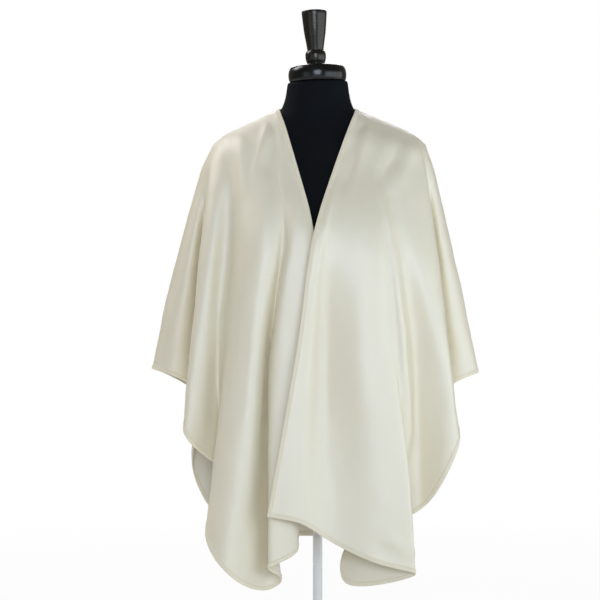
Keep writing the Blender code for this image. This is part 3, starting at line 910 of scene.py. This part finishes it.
LEFT_FRONT_FOLDS = (
    Fold("free edge", 0.00, (0.0318, -0.083), (-0.008, -0.151), (-0.037, -0.160), (-0.067, -0.167),
         (-0.093, -0.171, 0.215)),
    Fold("edge face", 0.10, (0.0445, -0.084), (0.008, -0.152), (-0.014, -0.157), (-0.028, -0.167),
         (-0.030, -0.174, 0.204)),
    Fold("front trough", 0.20, (0.057, -0.084), (0.018, -0.144), (0.011, -0.139), (0.010, -0.144),
         (0.012, -0.155, 0.174)),
    Fold("front swell", 0.38, (0.078, -0.084), (0.085, -0.144), (0.084, -0.161), (0.105, -0.167),
         (0.108, -0.173, 0.129)),
    Fold("main fold", 0.55, (0.106, -0.082), (0.118, -0.136), (0.138, -0.151), (0.167, -0.162),
         (0.181, -0.166, 0.110)),
    Fold("fold return", 0.59, (0.112, -0.081), (0.126, -0.131), (0.148, -0.144), (0.132, -0.128),
         (0.047, -0.118, 0.086)),
    Fold("return rise", 0.63, (0.118, -0.080), (0.134, -0.130), (0.160, -0.144), (0.161, -0.122),
         (0.050, -0.095, 0.155)),
    Fold("outer trough", 0.70, (0.129, -0.078), (0.148, -0.114), (0.176, -0.108), (0.187, -0.097),
         (0.194, -0.090, 0.222)),
    Fold("outer face", 0.80, (0.162, -0.067), (0.178, -0.107), (0.218, -0.121), (0.238, -0.119),
         (0.233, -0.110, 0.277)),
    Fold("outer fold", 0.88, (0.197, -0.041), (0.216, -0.074), (0.234, -0.096), (0.249, -0.108),
         (0.262, -0.106, 0.352)),
    Fold("side valley", 0.92, (0.2035, -0.021), (0.218, -0.012), (0.224, -0.002), (0.234, 0.006),
         (0.240, 0.010, 0.436)),
    Fold("wing face", 0.96, (0.2125, -0.016), (0.233, -0.029), (0.249, -0.031), (0.262, -0.028),
         (0.273, -0.014, 0.462)),
    LEFT_WING,
)

# From the left wing to the right one. Start runs from 2 at the left shoulder tip over 1 and -1 at the
# sides of the neck to -2 at the right shoulder tip.
BACK_FOLDS = (
    Fold("left wing back", 1.96, (0.214, 0.024), (0.242, 0.035), (0.265, 0.047), (0.278, 0.056),
         (0.285, 0.059, 0.466)),
    Fold("left side valley", 1.92, (0.207, 0.040), (0.226, 0.056), (0.228, 0.060), (0.225, 0.062),
         (0.221, 0.061, 0.424)),
    Fold("left back fold", 1.87, (0.199, 0.057), (0.220, 0.086), (0.234, 0.104), (0.242, 0.112),
         (0.243, 0.116, 0.302)),
    Fold("left back trough", 1.70, (0.168, 0.089), (0.182, 0.107), (0.190, 0.112), (0.194, 0.112),
         (0.196, 0.111, 0.226)),
    Fold("left blade ridge", 1.38, (0.122, 0.107), (0.137, 0.126), (0.146, 0.140), (0.152, 0.150),
         (0.156, 0.155, 0.172)),
    Fold("left inner trough", 1.00, (0.076, 0.113), (0.086, 0.123), (0.092, 0.124), (0.096, 0.121),
         (0.099, 0.119, 0.151)),
    Fold("left centre swell", 0.55, (0.040, 0.115), (0.044, 0.129), (0.047, 0.138), (0.050, 0.145),
         (0.053, 0.149, 0.147)),
    Fold("centre trough", 0.10, (0.006, 0.115), (0.004, 0.125), (0.000, 0.128), (-0.003, 0.128),
         (-0.006, 0.127, 0.149)),
    Fold("right centre ridge", -0.50, (-0.040, 0.115), (-0.048, 0.130), (-0.054, 0.143), (-0.060, 0.153),
         (-0.064, 0.159, 0.146)),
    Fold("right inner trough", -1.00, (-0.088, 0.112), (-0.100, 0.122), (-0.110, 0.122), (-0.116, 0.118),
         (-0.120, 0.115, 0.152)),
    Fold("right blade ridge", -1.45, (-0.130, 0.106), (-0.144, 0.127), (-0.157, 0.140), (-0.165, 0.148),
         (-0.170, 0.152, 0.172)),
    Fold("right back trough", -1.72, (-0.170, 0.088), (-0.186, 0.106), (-0.197, 0.112), (-0.204, 0.113),
         (-0.210, 0.113, 0.207)),
    Fold("right back fold", -1.87, (-0.198, 0.057), (-0.217, 0.088), (-0.232, 0.106), (-0.241, 0.115),
         (-0.245, 0.118, 0.286)),
    Fold("right side valley", -1.92, (-0.206, 0.040), (-0.224, 0.058), (-0.227, 0.062), (-0.224, 0.064),
         (-0.219, 0.063, 0.420)),
    Fold("right wing back", -1.96, (-0.213, 0.024), (-0.244, 0.037), (-0.270, 0.048), (-0.285, 0.057),
         (-0.292, 0.060, 0.469)),
)

CREASES: dict[Side, tuple[Crease, ...]] = {
    Side.RIGHT_FRONT: (
        # short ones that spread from the neck over the wearer's right shoulder
        Crease(((-0.088, 0.962), (-0.104, 0.895), (-0.118, 0.838)), 0.0034, 0.0085),
        Crease(((-0.076, 0.950), (-0.080, 0.905), (-0.090, 0.850)), -0.0026, 0.0080),
        Crease(((-0.074, 0.925), (-0.066, 0.870), (-0.064, 0.815), (-0.065, 0.742)), 0.0030, 0.0075),
        Crease(((-0.088, 0.936), (-0.072, 0.934)), -0.0022, 0.0050),
        Crease(((-0.176, 0.897), (-0.168, 0.862), (-0.160, 0.822)), -0.0042, 0.0120),
        Crease(((-0.145, 0.915), (-0.141, 0.860), (-0.138, 0.800)), 0.0026, 0.0110),
        Crease(((-0.063, 0.770), (-0.060, 0.735), (-0.060, 0.695)), -0.0026, 0.0090),
        # the deep valley beside the right front's edge, and the pleat that overhangs it
        Crease(((-0.062, 0.765), (-0.0655, 0.696), (-0.084, 0.610), (-0.094, 0.510)), -0.0030, 0.0120),
        Crease(((-0.050, 0.755), (-0.053, 0.696), (-0.071, 0.610), (-0.080, 0.510)), 0.0022, 0.0100),
        # down the wearer's right front
        Crease(((-0.168, 0.890), (-0.166, 0.800), (-0.168, 0.700), (-0.180, 0.600)), -0.0085, 0.0200),
        Crease(((-0.112, 0.560), (-0.117, 0.460), (-0.122, 0.360), (-0.126, 0.250)), 0.0040, 0.0150),
        Crease(((-0.180, 0.530), (-0.196, 0.450), (-0.198, 0.350)), -0.0030, 0.0120),
    ),
    Side.LEFT_FRONT: (
        # the wearer's left shoulder and chest
        Crease(((0.161, 0.915), (0.140, 0.872), (0.114, 0.830)), -0.0040, 0.0130),
        Crease(((0.184, 0.900), (0.164, 0.858), (0.142, 0.822)), 0.0022, 0.0120),
        Crease(((0.080, 0.952), (0.063, 0.886), (0.050, 0.820)), -0.0034, 0.0100),
        Crease(((0.100, 0.948), (0.082, 0.885), (0.066, 0.815)), 0.0026, 0.0100),
        Crease(((0.122, 0.735), (0.124, 0.640), (0.131, 0.545), (0.143, 0.460)), -0.0022, 0.0120),
        Crease(((0.014, 0.660), (0.010, 0.550), (0.006, 0.420), (0.002, 0.280)), -0.0045, 0.0180),
        Crease(((0.176, 0.500), (0.180, 0.400), (0.186, 0.300), (0.190, 0.220)), -0.0045, 0.0130),
        # small ones where the lap pulls
        Crease(((-0.014, 0.655), (0.004, 0.646), (0.020, 0.631)), -0.0020, 0.0050, 0.8),
        Crease(((-0.014, 0.612), (0.002, 0.610)), -0.0013, 0.0045, 0.6),
        # crumples over the left front's corner fold
        Crease(((0.105, 0.163), (0.125, 0.148), (0.150, 0.139)), -0.0036, 0.0070, 0.6),
        Crease(((0.130, 0.180), (0.152, 0.160), (0.172, 0.150)), 0.0034, 0.0080, 0.5),
    ),
    Side.BACK: (
        Crease(((0.080, 0.945), (0.062, 0.880), (0.052, 0.800)), -0.0036, 0.0120),
        Crease(((-0.086, 0.945), (-0.072, 0.870), (-0.066, 0.790)), -0.0032, 0.0110),
        Crease(((0.160, 0.905), (0.142, 0.850), (0.118, 0.790)), -0.0040, 0.0130),
        Crease(((-0.150, 0.900), (-0.146, 0.820), (-0.132, 0.750)), -0.0044, 0.0140),
        Crease(((0.010, 0.940), (0.020, 0.880), (0.026, 0.830)), 0.0024, 0.0100),
        Crease(((0.066, 0.640), (0.070, 0.500), (0.074, 0.360)), -0.0034, 0.0120),
        Crease(((-0.084, 0.560), (-0.090, 0.430), (-0.098, 0.300)), -0.0030, 0.0110),
        Crease(((0.020, 0.330), (0.026, 0.240), (0.024, 0.160)), 0.0030, 0.0120),
    ),
}


# ---------------------------------------------------------------- the ruana


@dataclass
class ClothSheet:
    """The ruana's cloth: one sheet of felted wool, slit up the front to the neck.

    Stations are how far down a fold its knots lie, and waist_drop and hip_drop are shares of the way from
    the bust to the hem. Rounding draws the knot between shoulder and chest towards the shoulder.
    Row_spread above 1 packs the rows at the top, and the sways are noise over the whole sheet.
    """

    UV_NAME = "cloth"

    form: DressForm
    wall: float = 0.0020
    clearance: float = 0.0012
    chest_height: float = 0.860
    bust_height: float = 0.730
    waist_drop: float = 0.38
    hip_drop: float = 0.72
    neck_half_width: float = 0.0725
    neck_centre: float = 0.010
    neck_edge_height: float = 0.9715
    neck_back_depth: float = 0.053
    neck_back_rise: float = 0.006
    stations: tuple[float, ...] = (0.0, 0.075, 0.15, 0.32, 0.55, 0.79, 1.0)
    rounding: tuple[float, float, float] = (0.64, 0.34, 0.66)
    shoulder: tuple[ShoulderPoint, ...] = (
        ShoulderPoint(0.00, -0.0725, 0.0725, 0.010, 0.9715),
        ShoulderPoint(0.25, -0.101, 0.104, 0.009, 0.9575),
        ShoulderPoint(0.55, -0.140, 0.146, 0.007, 0.9400),
        ShoulderPoint(0.80, -0.173, 0.180, 0.006, 0.9235),
        ShoulderPoint(1.00, -0.197, 0.203, 0.005, 0.9050),
    )
    rows: int = 83
    row_spread: float = 1.30
    column_width: float = 0.0072
    fewest_columns: int = 3
    neck_columns: int = 44
    softening_passes: int = 12
    eased_rows: int = 9
    neck_rows: int = 6
    neck_opening: float = 0.0105
    sway: float = 0.0011
    sway_size: float = 0.055
    fine_sway: float = 0.4
    fine_sway_size: float = 0.021

    def __post_init__(self) -> None:
        """Lays the folds out in the cloth's own order."""
        left = [(fold, 1 + fold.start) for fold in LEFT_FRONT_FOLDS]
        back = [(fold, fold.start) for fold in BACK_FOLDS]
        right = [(fold, -1 - fold.start) for fold in reversed(RIGHT_FRONT_FOLDS)]
        self.folds: list[tuple[Fold, float]] = left + back + right
        self.left_wing = len(left) - 1
        self.right_wing = len(left) + len(back)
        self.last_fold = len(self.folds) - 1

    def top_line(self, start: float) -> np.ndarray:
        """The cloth's highest line: the neck edge behind the neck, the shoulder lines at its sides."""
        side = -1 if start < 0 else 1
        if abs(start) < 1:
            angle = abs(start) * math.pi / 2
            return np.array((side * self.neck_half_width * math.sin(angle),
                             self.neck_centre + self.neck_back_depth * math.cos(angle),
                             self.neck_edge_height + self.neck_back_rise * math.cos(angle)))
        places = [(p.left if side > 0 else p.right, p.y, p.height) for p in self.shoulder]
        return curve_through([p.share for p in self.shoulder], places, [abs(start) - 1])[0]

    def fold_line(self, fold: Fold, start: float, stations: np.ndarray) -> np.ndarray:
        """Points down one fold, from the shoulder to the hem."""
        top = self.top_line(start)
        drop = self.bust_height - fold.hem[2]
        chest = np.array((*fold.chest, self.chest_height))
        knots = [
            top,
            chest + (top - chest) * self.rounding,
            chest,
            (*fold.bust, self.bust_height),
            (*fold.waist, self.bust_height - self.waist_drop * drop),
            (*fold.hip, self.bust_height - self.hip_drop * drop),
            fold.hem,
        ]
        over_the_top = (top[0], 2 * top[1] - knots[1][1], knots[1][2])
        return curve_through((-self.stations[1], *self.stations), [over_the_top, *knots], stations)

    def front_places(self, lines: np.ndarray, first: int, last: int) -> np.ndarray:
        """The places of a front's columns among its folds, more of them where the folds lie further apart."""
        widths = np.linalg.norm(np.diff(lines[first:last + 1], axis=0), axis=2).max(axis=1)
        places = [float(first)]
        for fold, width in zip(range(first, last), widths):
            count = max(self.fewest_columns, round(width / self.column_width))
            places += [fold + step / count for step in range(1, count + 1)]
        return np.array(places)

    def place_columns(self, lines: np.ndarray) -> np.ndarray:
        """Places the grid's columns among the folds, and names the points that are one.

        The columns of a front and of the back that meet on the shoulder share their top point.

        Args:
            lines: the points down each fold.

        Returns:
            The columns' top points, on the cloth's highest line.
        """
        indices = np.arange(len(self.folds))
        starts = np.array([start for _, start in self.folds])
        left = self.front_places(lines, 0, self.left_wing)
        right = self.front_places(lines, self.right_wing, self.last_fold)
        over_left = np.interp(left, indices, starts)
        over_right = np.interp(right, indices, starts)
        neck = np.linspace(1, -1, self.neck_columns + 1)[1:-1]
        over_back = np.concatenate((over_left[-2::-1], neck, over_right[:0:-1]))
        back = np.interp(-over_back, -starts[self.left_wing:self.right_wing + 1],
                         indices[self.left_wing:self.right_wing + 1])
        self.places = np.concatenate((left, back, right))
        self.names = np.arange(self.rows * len(self.places)).reshape(self.rows, -1)
        first_back, first_right = len(left), len(left) + len(back)
        self.names[0, first_back:2 * first_back - 1] = self.names[0, :first_back - 1][::-1]
        last_neck = first_right - len(right) + 1
        self.names[0, last_neck:first_right] = self.names[0, first_right + 1:][::-1]
        self.neck = slice(2 * first_back - 2, last_neck + 1)
        over_all = np.concatenate((over_left, over_back, over_right))
        return np.array([self.top_line(start) for start in over_all])

    def lay_out(self) -> None:
        """Works out the cloth's grid of points on its inner face, row by row from the top.

        The first row lies exactly on the highest line, and the next few ease from it into the folds.
        """
        stations = np.linspace(0, 1, self.rows) ** self.row_spread
        lines = np.stack([self.fold_line(fold, start, stations) for fold, start in self.folds])
        tops = self.place_columns(lines)
        grid = []
        for points in lines.swapaxes(0, 1):
            knots = running_length(points, 0.5)
            places = np.interp(self.places, np.arange(len(knots)), knots)
            grid.append(curve_through(knots, points, places))
        self.grid = np.array(grid)
        ease = np.clip(1 - np.arange(self.rows) / self.eased_rows, 0, 1)[:, None, None] ** 2
        self.grid += ease * (tops - self.grid[0])
        self.soften()
        self.open_neck()

    def soften(self) -> None:
        """Rounds the folds across, little at the top and most at the hem, as thick cloth turns."""
        share = np.linspace(0, 1, self.rows)[1:, None, None]
        for _ in range(self.softening_passes):
            inner = self.grid[1:, 1:-1]
            middle = 0.5 * (self.grid[1:, :-2] + self.grid[1:, 2:])
            self.grid[1:, 1:-1] = inner + 0.5 * share * (middle - inner)

    def open_neck(self) -> None:
        """Keeps the first rows behind the neck outside its edge, each a little further than the last."""
        reach = np.array((self.neck_half_width, self.neck_back_depth))
        centre = np.array((0.0, self.neck_centre))
        for row in range(1, self.neck_rows):
            flat = self.grid[row, :, :2] - centre
            distance = np.linalg.norm(flat / reach, axis=1)
            push = np.maximum(1, (1 + row * self.neck_opening) / distance)
            push[flat[:, 1] < 0] = 1
            self.grid[row, :, :2] = flat * push[:, None] + centre

    def crease(self, normals: np.ndarray) -> None:
        """Adds the creases and a slight sway to the grid, along its normals."""
        stretches = {Side.LEFT_FRONT: (0, self.left_wing), Side.BACK: (self.left_wing, self.right_wing),
                     Side.RIGHT_FRONT: (self.right_wing, self.last_fold)}
        lift = np.zeros(self.grid.shape[:2])
        for side, creases in CREASES.items():
            first, last = stretches[side]
            inside = (self.places >= first) & (self.places <= last)
            for crease in creases:
                lift[:, inside] += crease.lift(self.grid[:, inside, 0], self.grid[:, inside, 2])
        swing = [noise.noise(Vector(p) / self.sway_size)
                 + self.fine_sway * noise.noise(Vector(p) / self.fine_sway_size)
                 for p in self.grid.reshape(-1, 3)]
        lift += self.sway * np.array(swing).reshape(lift.shape)
        lift[0] = 0.0
        self.grid += normals * lift[..., None]

    def sheet_piece(self) -> bpy.types.Object:
        """The sheet as a mesh of one layer, each face seen from outside."""
        names = self.names
        corners = np.stack((names[:-1, :-1], names[1:, :-1], names[1:, 1:], names[:-1, 1:]), axis=-1)
        return Workbench.from_mesh("ruana_cloth", self.grid, corners.reshape(-1, 4).tolist())

    def grid_normals(self, mesh: bpy.types.Mesh) -> np.ndarray:
        """The sheet's normals at the grid's points."""
        return vertex_normals(mesh)[self.names]

    def build(self) -> bpy.types.Object:
        """Builds the cloth with its wall.

        Returns:
            The piece.
        """
        self.lay_out()
        plain = self.sheet_piece()
        self.crease(self.grid_normals(plain.data))
        bpy.data.objects.remove(plain, do_unlink=True)
        self.grid = self.form.kept_clear(self.grid, self.clearance)
        piece = self.sheet_piece()
        self.normals = self.grid_normals(piece.data)
        self.lay_flat(piece.data)
        wall = piece.modifiers.new("wall", "SOLIDIFY")
        wall.thickness = self.wall
        wall.offset = 1.0
        wall.use_even_offset = False
        Workbench.edit(piece, bpy.ops.mesh.delete_loose)
        Workbench.apply_modifiers(piece)
        return piece

    def lay_flat(self, mesh: bpy.types.Mesh) -> None:
        """Gives the mesh its place on the flat cloth, in metres, as a UV map."""
        across = np.linalg.norm(np.diff(self.grid, axis=1), axis=2)
        down = np.linalg.norm(np.diff(self.grid, axis=0), axis=2)
        u = np.pad(np.cumsum(across, axis=1), ((0, 0), (1, 0)))
        v = -np.pad(np.cumsum(down, axis=0), ((1, 0), (0, 0)))
        u -= u[:, [int(np.argmin(np.abs(self.places - self.left_wing)))]]
        flat = np.stack((u, v), axis=-1)
        corners = np.stack((flat[:-1, :-1], flat[1:, :-1], flat[1:, 1:], flat[:-1, 1:]), axis=2)
        layer = mesh.uv_layers.new(name=self.UV_NAME)
        layer.data.foreach_set("uv", corners.reshape(-1))


class EdgeLine(NamedTuple):
    """A line along the cloth's edge: its points, the ways in from the edge, and the normals."""

    points: np.ndarray
    inward: np.ndarray
    outward: np.ndarray

    def sampled(self, places: np.ndarray) -> "EdgeLine":
        """The line at other places, given as lengths along it."""
        run = running_length(self.points)
        return EdgeLine(*(np.stack([np.interp(places, run, part[:, axis]) for axis in range(3)], axis=1)
                          for part in self))


@dataclass
class EdgeBinding:
    """The turned edge round the fronts, the neck and the hem, and its line of stitches.

    The strip reaches past the cloth's edge by its lip. Flat_step is how far apart the points of its
    section lie on the pattern's own map.
    """

    cloth: ClothSheet
    width: float = 0.0075
    bulge: float = 0.0018
    lip: float = 0.0008
    thin_edge: float = 0.0007
    flat_step: float = 0.002
    stitch_inset: float = 0.0056
    stitch_height: float = 0.001756
    stitch_length: float = 0.0026
    stitch_body: float = 0.55
    stitch_pitch: float = 0.0038
    stitch_radius: float = 0.00042
    stitch_sides: int = 5

    def section(self) -> np.ndarray:
        """The binding's closed outline: how far in from the cloth's edge, and how far off its middle."""
        width, bulge = self.width, self.bulge
        half = [(width, self.thin_edge), (width - self.lip / 2, 0.80 * bulge), (0.82 * width, 0.96 * bulge),
                (0.60 * width, 0.90 * bulge), (0.22 * width, bulge), (self.lip / 4, 0.86 * bulge),
                (-self.lip, 0.45 * bulge)]
        return np.array(half + [(inset, -rise) for inset, rise in reversed(half)])

    def front_line(self) -> EdgeLine:
        """Up the left front, round the back of the neck and down the right front."""
        grid, normals, neck = self.cloth.grid, self.cloth.normals, self.cloth.neck
        neck_axis = (0.0, self.cloth.neck_centre, self.cloth.neck_edge_height)
        up = EdgeLine(grid[:0:-1, 0], grid[:0:-1, 2] - grid[:0:-1, 0], normals[:0:-1, 0])
        round_neck = EdgeLine(grid[0, neck], grid[0, neck] - neck_axis, normals[0, neck])
        down = EdgeLine(grid[1:, -1], grid[1:, -3] - grid[1:, -1], normals[1:, -1])
        return EdgeLine(*(np.concatenate(parts) for parts in zip(up, round_neck, down)))

    def hem_line(self) -> EdgeLine:
        """Along the whole hem, from the left front's corner to the right front's."""
        grid = self.cloth.grid
        return EdgeLine(grid[-1], grid[-2] - grid[-1], self.cloth.normals[-1])

    def squared(self, line: EdgeLine, cut: float) -> EdgeLine:
        """The line moved to the cloth's middle, its ways in and normals made square to it.

        Args:
            line: a line along the cloth's inner face.
            cut: how much is left off at both ends.

        Returns:
            The line, its ways in and normals of length 1.
        """
        line = line._replace(points=line.points + line.outward * self.cloth.wall / 2)
        run = running_length(line.points)
        end = run[-1] - cut
        line = line.sampled(np.concatenate(([cut], run[(run > cut) & (run < end)], [end])))
        along = unit(np.gradient(line.points, axis=0))
        outward = unit(line.outward - along * (line.outward * along).sum(axis=1, keepdims=True))
        inward = np.cross(along, outward)
        inward *= np.sign((inward * line.inward).sum(axis=1, keepdims=True))
        return EdgeLine(line.points, unit(inward), outward)

    def strip(self, name: str, line: EdgeLine) -> bpy.types.Object:
        """A closed strip swept along a squared line."""
        section = self.section()
        count, sides = len(line.points), len(section)
        rings = (line.points[:, None] + line.inward[:, None] * section[None, :, :1]
                 + line.outward[:, None] * section[None, :, 1:])
        faces = [(r * sides + s, r * sides + (s + 1) % sides, (r + 1) * sides + (s + 1) % sides,
                  (r + 1) * sides + s) for r in range(count - 1) for s in range(sides)]
        faces += [tuple(range(sides)), tuple((count - 1) * sides + s for s in reversed(range(sides)))]
        piece = Workbench.from_mesh(name, rings, faces)
        run = running_length(line.points)
        layer = piece.data.uv_layers.new(name=ClothSheet.UV_NAME)
        for face in piece.data.polygons:
            for loop, vertex in zip(face.loop_indices, face.vertices):
                layer.data[loop].uv = (run[vertex // sides], self.flat_step * (vertex % sides))
        Workbench.face_outward(piece)
        return piece

    def stitch(self) -> tuple[np.ndarray, list[tuple[int, ...]]]:
        """One stitch: a small rounded bead, lying along X.

        Returns:
            Its points and faces.
        """
        bpy.ops.object.select_all(action="DESELECT")
        bpy.ops.mesh.primitive_cylinder_add(vertices=self.stitch_sides, radius=self.stitch_radius,
                                            depth=self.stitch_length * self.stitch_body,
                                            end_fill_type="TRIFAN", rotation=(0, math.pi / 2, 0))
        bead = bpy.context.object
        bpy.ops.object.transform_apply(location=True, rotation=True, scale=True)
        for vertex in bead.data.vertices:
            if math.hypot(vertex.co.y, vertex.co.z) < self.stitch_radius / 2:
                vertex.co.x = math.copysign(self.stitch_length / 2, vertex.co.x)
        points = np.array([vertex.co for vertex in bead.data.vertices])
        faces = [tuple(face.vertices) for face in bead.data.polygons]
        bpy.data.objects.remove(bead, do_unlink=True)
        return points, faces

    def stitches(self, name: str, lines: Sequence[EdgeLine]) -> bpy.types.Object:
        """The stitches of both faces of the cloth, all along the given squared lines."""
        bead, bead_faces = self.stitch()
        beads, count = [], 0
        for line in lines:
            length = running_length(line.points)[-1]
            line = line.sampled(np.arange(self.width, length - self.width, self.stitch_pitch))
            along = unit(np.gradient(line.points, axis=0))
            count += 2 * len(along)
            for height in (self.stitch_height, -self.stitch_height):
                centre = line.points + line.inward * self.stitch_inset + line.outward * height
                beads.append(centre[:, None] + along[:, None] * bead[None, :, :1]
                             + line.inward[:, None] * bead[None, :, 1:2]
                             + line.outward[:, None] * bead[None, :, 2:])
        faces = [tuple(vertex + number * len(bead) for vertex in face)
                 for number in range(count) for face in bead_faces]
        piece = Workbench.from_mesh(name, np.concatenate(beads), faces)
        Workbench.face_outward(piece)
        return piece

    def build(self) -> list[bpy.types.Object]:
        """Builds and dresses the binding and its stitches.

        Returns:
            The pieces.
        """
        fronts = self.squared(self.front_line(), cut=0.0)
        hem = self.squared(self.hem_line(), cut=self.width)
        wool, thread = BindingFinish().material(), ThreadFinish().material()
        return [
            Workbench.dress(self.strip("front_and_neck_binding", fronts), wool, "ivory_edge",
                            ["edge_band_front_left", "edge_band_front_right"]),
            Workbench.dress(self.strip("hem_binding", hem), wool, "ivory_edge"),
            Workbench.dress(self.stitches("edge_stitches", [fronts, hem]), thread, "ivory_edge"),
        ]


@dataclass
class Ruana:
    """The garment: the cloth, its turned edge and the stitches."""

    cloth: ClothSheet
    flat_width: float = 1.34
    flat_length: float = 1.78
    flat_area: float = 1.60
    smooth_angle: float = math.radians(70)

    def build(self) -> None:
        """Builds and dresses the garment."""
        piece = Workbench.dress(self.cloth.build(), WoolFinish().material(), "ivory_wool",
                                ["ruana_front_left", "ruana_front_right", "ruana_back"], self.smooth_angle)
        edges = EdgeBinding(self.cloth).build()


# ---------------------------------------------------------------- the stand


@dataclass
class Stand:
    """A round base, a pole and the hub that carries the torso.

    An easing lists points round an edge: how far in from the side, and how far from the face.
    """

    base_radius: float = 0.140
    base_thickness: float = 0.008
    base_easing: tuple[Place, ...] = ((0.002, 0.0), (0.0006, 0.0006), (0.0, 0.002))
    base_rings: Place = (0.130, 0.030)
    pole_radius: float = 0.009
    pole_easing: tuple[Place, ...] = ((0.0005, 0.0), (0.0, 0.0008))
    hub_radius: float = 0.0234
    hub_height: float = 0.022
    hub_easing: tuple[Place, ...] = ((0.003, 0.0), (0.0008, 0.0008), (0.0, 0.003))
    gap: float = 0.0003

    def build(self) -> None:
        """Builds and dresses the stand's pieces."""
        top, hub_foot = self.base_thickness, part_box("stand_hub")[0].z
        base = eased_side(self.base_radius, 0.0, top, self.base_easing)
        base += [TurnedPoint(radius, top) for radius in self.base_rings]
        pole = eased_side(self.pole_radius, top + self.gap, hub_foot - self.gap, self.pole_easing)
        hub = eased_side(self.hub_radius, hub_foot, hub_foot + self.hub_height, self.hub_easing)
        enamel = EnamelFinish().material()
        for piece, node in ((TurnedPiece("round_base", base, sides=120), "stand_base"),
                            (TurnedPiece("pole", pole, sides=48), "stand_pole"),
                            (TurnedPiece("torso_hub", hub, sides=64), "stand_hub")):
            Workbench.dress(piece.build(), enamel, "white_enamel", [node])


# ---------------------------------------------------------------- the studio


class Lamp(NamedTuple):
    """A soft square lamp: where it stands, where it points, its size and its power in watts."""

    name: str
    place: Place3
    target: Place3
    size: float
    power: float
    colour: Colour


@dataclass
class Studio:
    """The floor, the lamps, the white surround and the camera."""

    lamps: tuple[Lamp, ...] = (
        Lamp("front", (0.0, -5.3, 1.75), (0.0, 0.0, 0.6), 2.2, 114, (0.755, 0.845, 1.0)),
        Lamp("left_front", (-2.26, -2.26, 0.88), (0.0, 0.0, 0.6), 1.5, 5, (0.80, 0.90, 1.0)),
        Lamp("right_front", (2.26, -2.26, 0.88), (0.0, 0.0, 0.6), 1.5, 19, (0.76, 0.88, 1.0)),
        Lamp("right", (3.04, -0.99, 0.88), (0.0, 0.0, 0.6), 1.5, 16, (0.78, 0.90, 1.0)),
        Lamp("right_behind", (3.14, 0.55, 0.88), (0.0, 0.0, 0.6), 1.5, 11, (0.97, 0.98, 1.0)),
        Lamp("left_shoulder", (-2.13, 0.77, 2.86), (0.0, 0.0, 0.7), 1.5, 46, (0.97, 0.94, 0.95)),
        Lamp("behind", (0.0, 2.45, 2.66), (0.0, 0.0, 0.7), 1.5, 42, (0.93, 0.92, 0.97)),
    )
    surround: float = 0.17
    surround_colour: Colour = (1.0, 0.92, 0.80)
    floor_size: float = 60.0
    camera_place: Place3 = (-0.0335, -4.2, 0.61)
    lens: float = 132.6
    sensor_width: float = 36
    clip_end: float = 200

    def build_floor(self) -> None:
        """A wide floor under everything."""
        bpy.ops.object.select_all(action="DESELECT")
        bpy.ops.mesh.primitive_plane_add(size=self.floor_size)
        floor = bpy.context.object
        floor.name = "studio_floor"
        floor.data.materials.append(FloorFinish().material())

    def build_world(self) -> None:
        """White where the camera sees it, dimmer and warmer where it lights.

        Glossy rays get the dimmer surround too: nothing here is metal or glass, and a white one would
        turn the black lacquer grey.
        """
        world = bpy.data.worlds.new("studio")
        bpy.context.scene.world = world
        world.use_nodes = True
        nodes, links = world.node_tree.nodes, world.node_tree.links
        nodes.clear()
        lit, seen = nodes.new("ShaderNodeBackground"), nodes.new("ShaderNodeBackground")
        white = (1.0, 1.0, 1.0)
        for background, strength, colour in ((lit, self.surround, self.surround_colour), (seen, 1.0, white)):
            background.inputs["Strength"].default_value = strength
            background.inputs["Color"].default_value = (*colour, 1.0)
        rays = nodes.new("ShaderNodeLightPath")
        either = nodes.new("ShaderNodeMath")
        either.operation = "MAXIMUM"
        mix, out = nodes.new("ShaderNodeMixShader"), nodes.new("ShaderNodeOutputWorld")
        for source, socket in ((rays.outputs["Is Camera Ray"], either.inputs[0]),
                               (rays.outputs["Is Transmission Ray"], either.inputs[1]),
                               (either.outputs[0], mix.inputs[0]), (lit.outputs[0], mix.inputs[1]),
                               (seen.outputs[0], mix.inputs[2]), (mix.outputs[0], out.inputs["Surface"])):
            links.new(source, socket)

    def build_lamps(self) -> None:
        """Sets up the lamps."""
        for lamp in self.lamps:
            light = bpy.data.lights.new(lamp.name, "AREA")
            light.size = lamp.size
            light.energy = lamp.power
            light.color = lamp.colour
            stand = bpy.data.objects.new(lamp.name, light)
            bpy.context.scene.collection.objects.link(stand)
            stand.location = lamp.place
            aim = Vector(lamp.target) - Vector(lamp.place)
            stand.rotation_euler = aim.to_track_quat("-Z", "Y").to_euler()

    def build_camera(self) -> None:
        """A level camera in front of the form."""
        optics = bpy.data.cameras.new("camera")
        optics.sensor_width = self.sensor_width
        optics.lens = self.lens
        optics.clip_end = self.clip_end
        camera = bpy.data.objects.new("camera", optics)
        camera.location = self.camera_place
        camera.rotation_euler = (math.radians(90), 0, 0)
        bpy.context.scene.collection.objects.link(camera)
        bpy.context.scene.camera = camera

    def build(self) -> None:
        """Builds the studio."""
        self.build_floor()
        self.build_world()
        self.build_lamps()
        self.build_camera()
        bpy.context.scene.view_settings.view_transform = "Standard"


def main() -> None:
    """Builds the studio, the stand, the form and the ruana, in that order."""
    logging.basicConfig(level=logging.INFO, format="%(message)s")
    Studio().build()
    Stand().build()
    form = DressForm()
    form.build()
    Ruana(ClothSheet(form)).build()


if __name__ == "__main__":
    main()
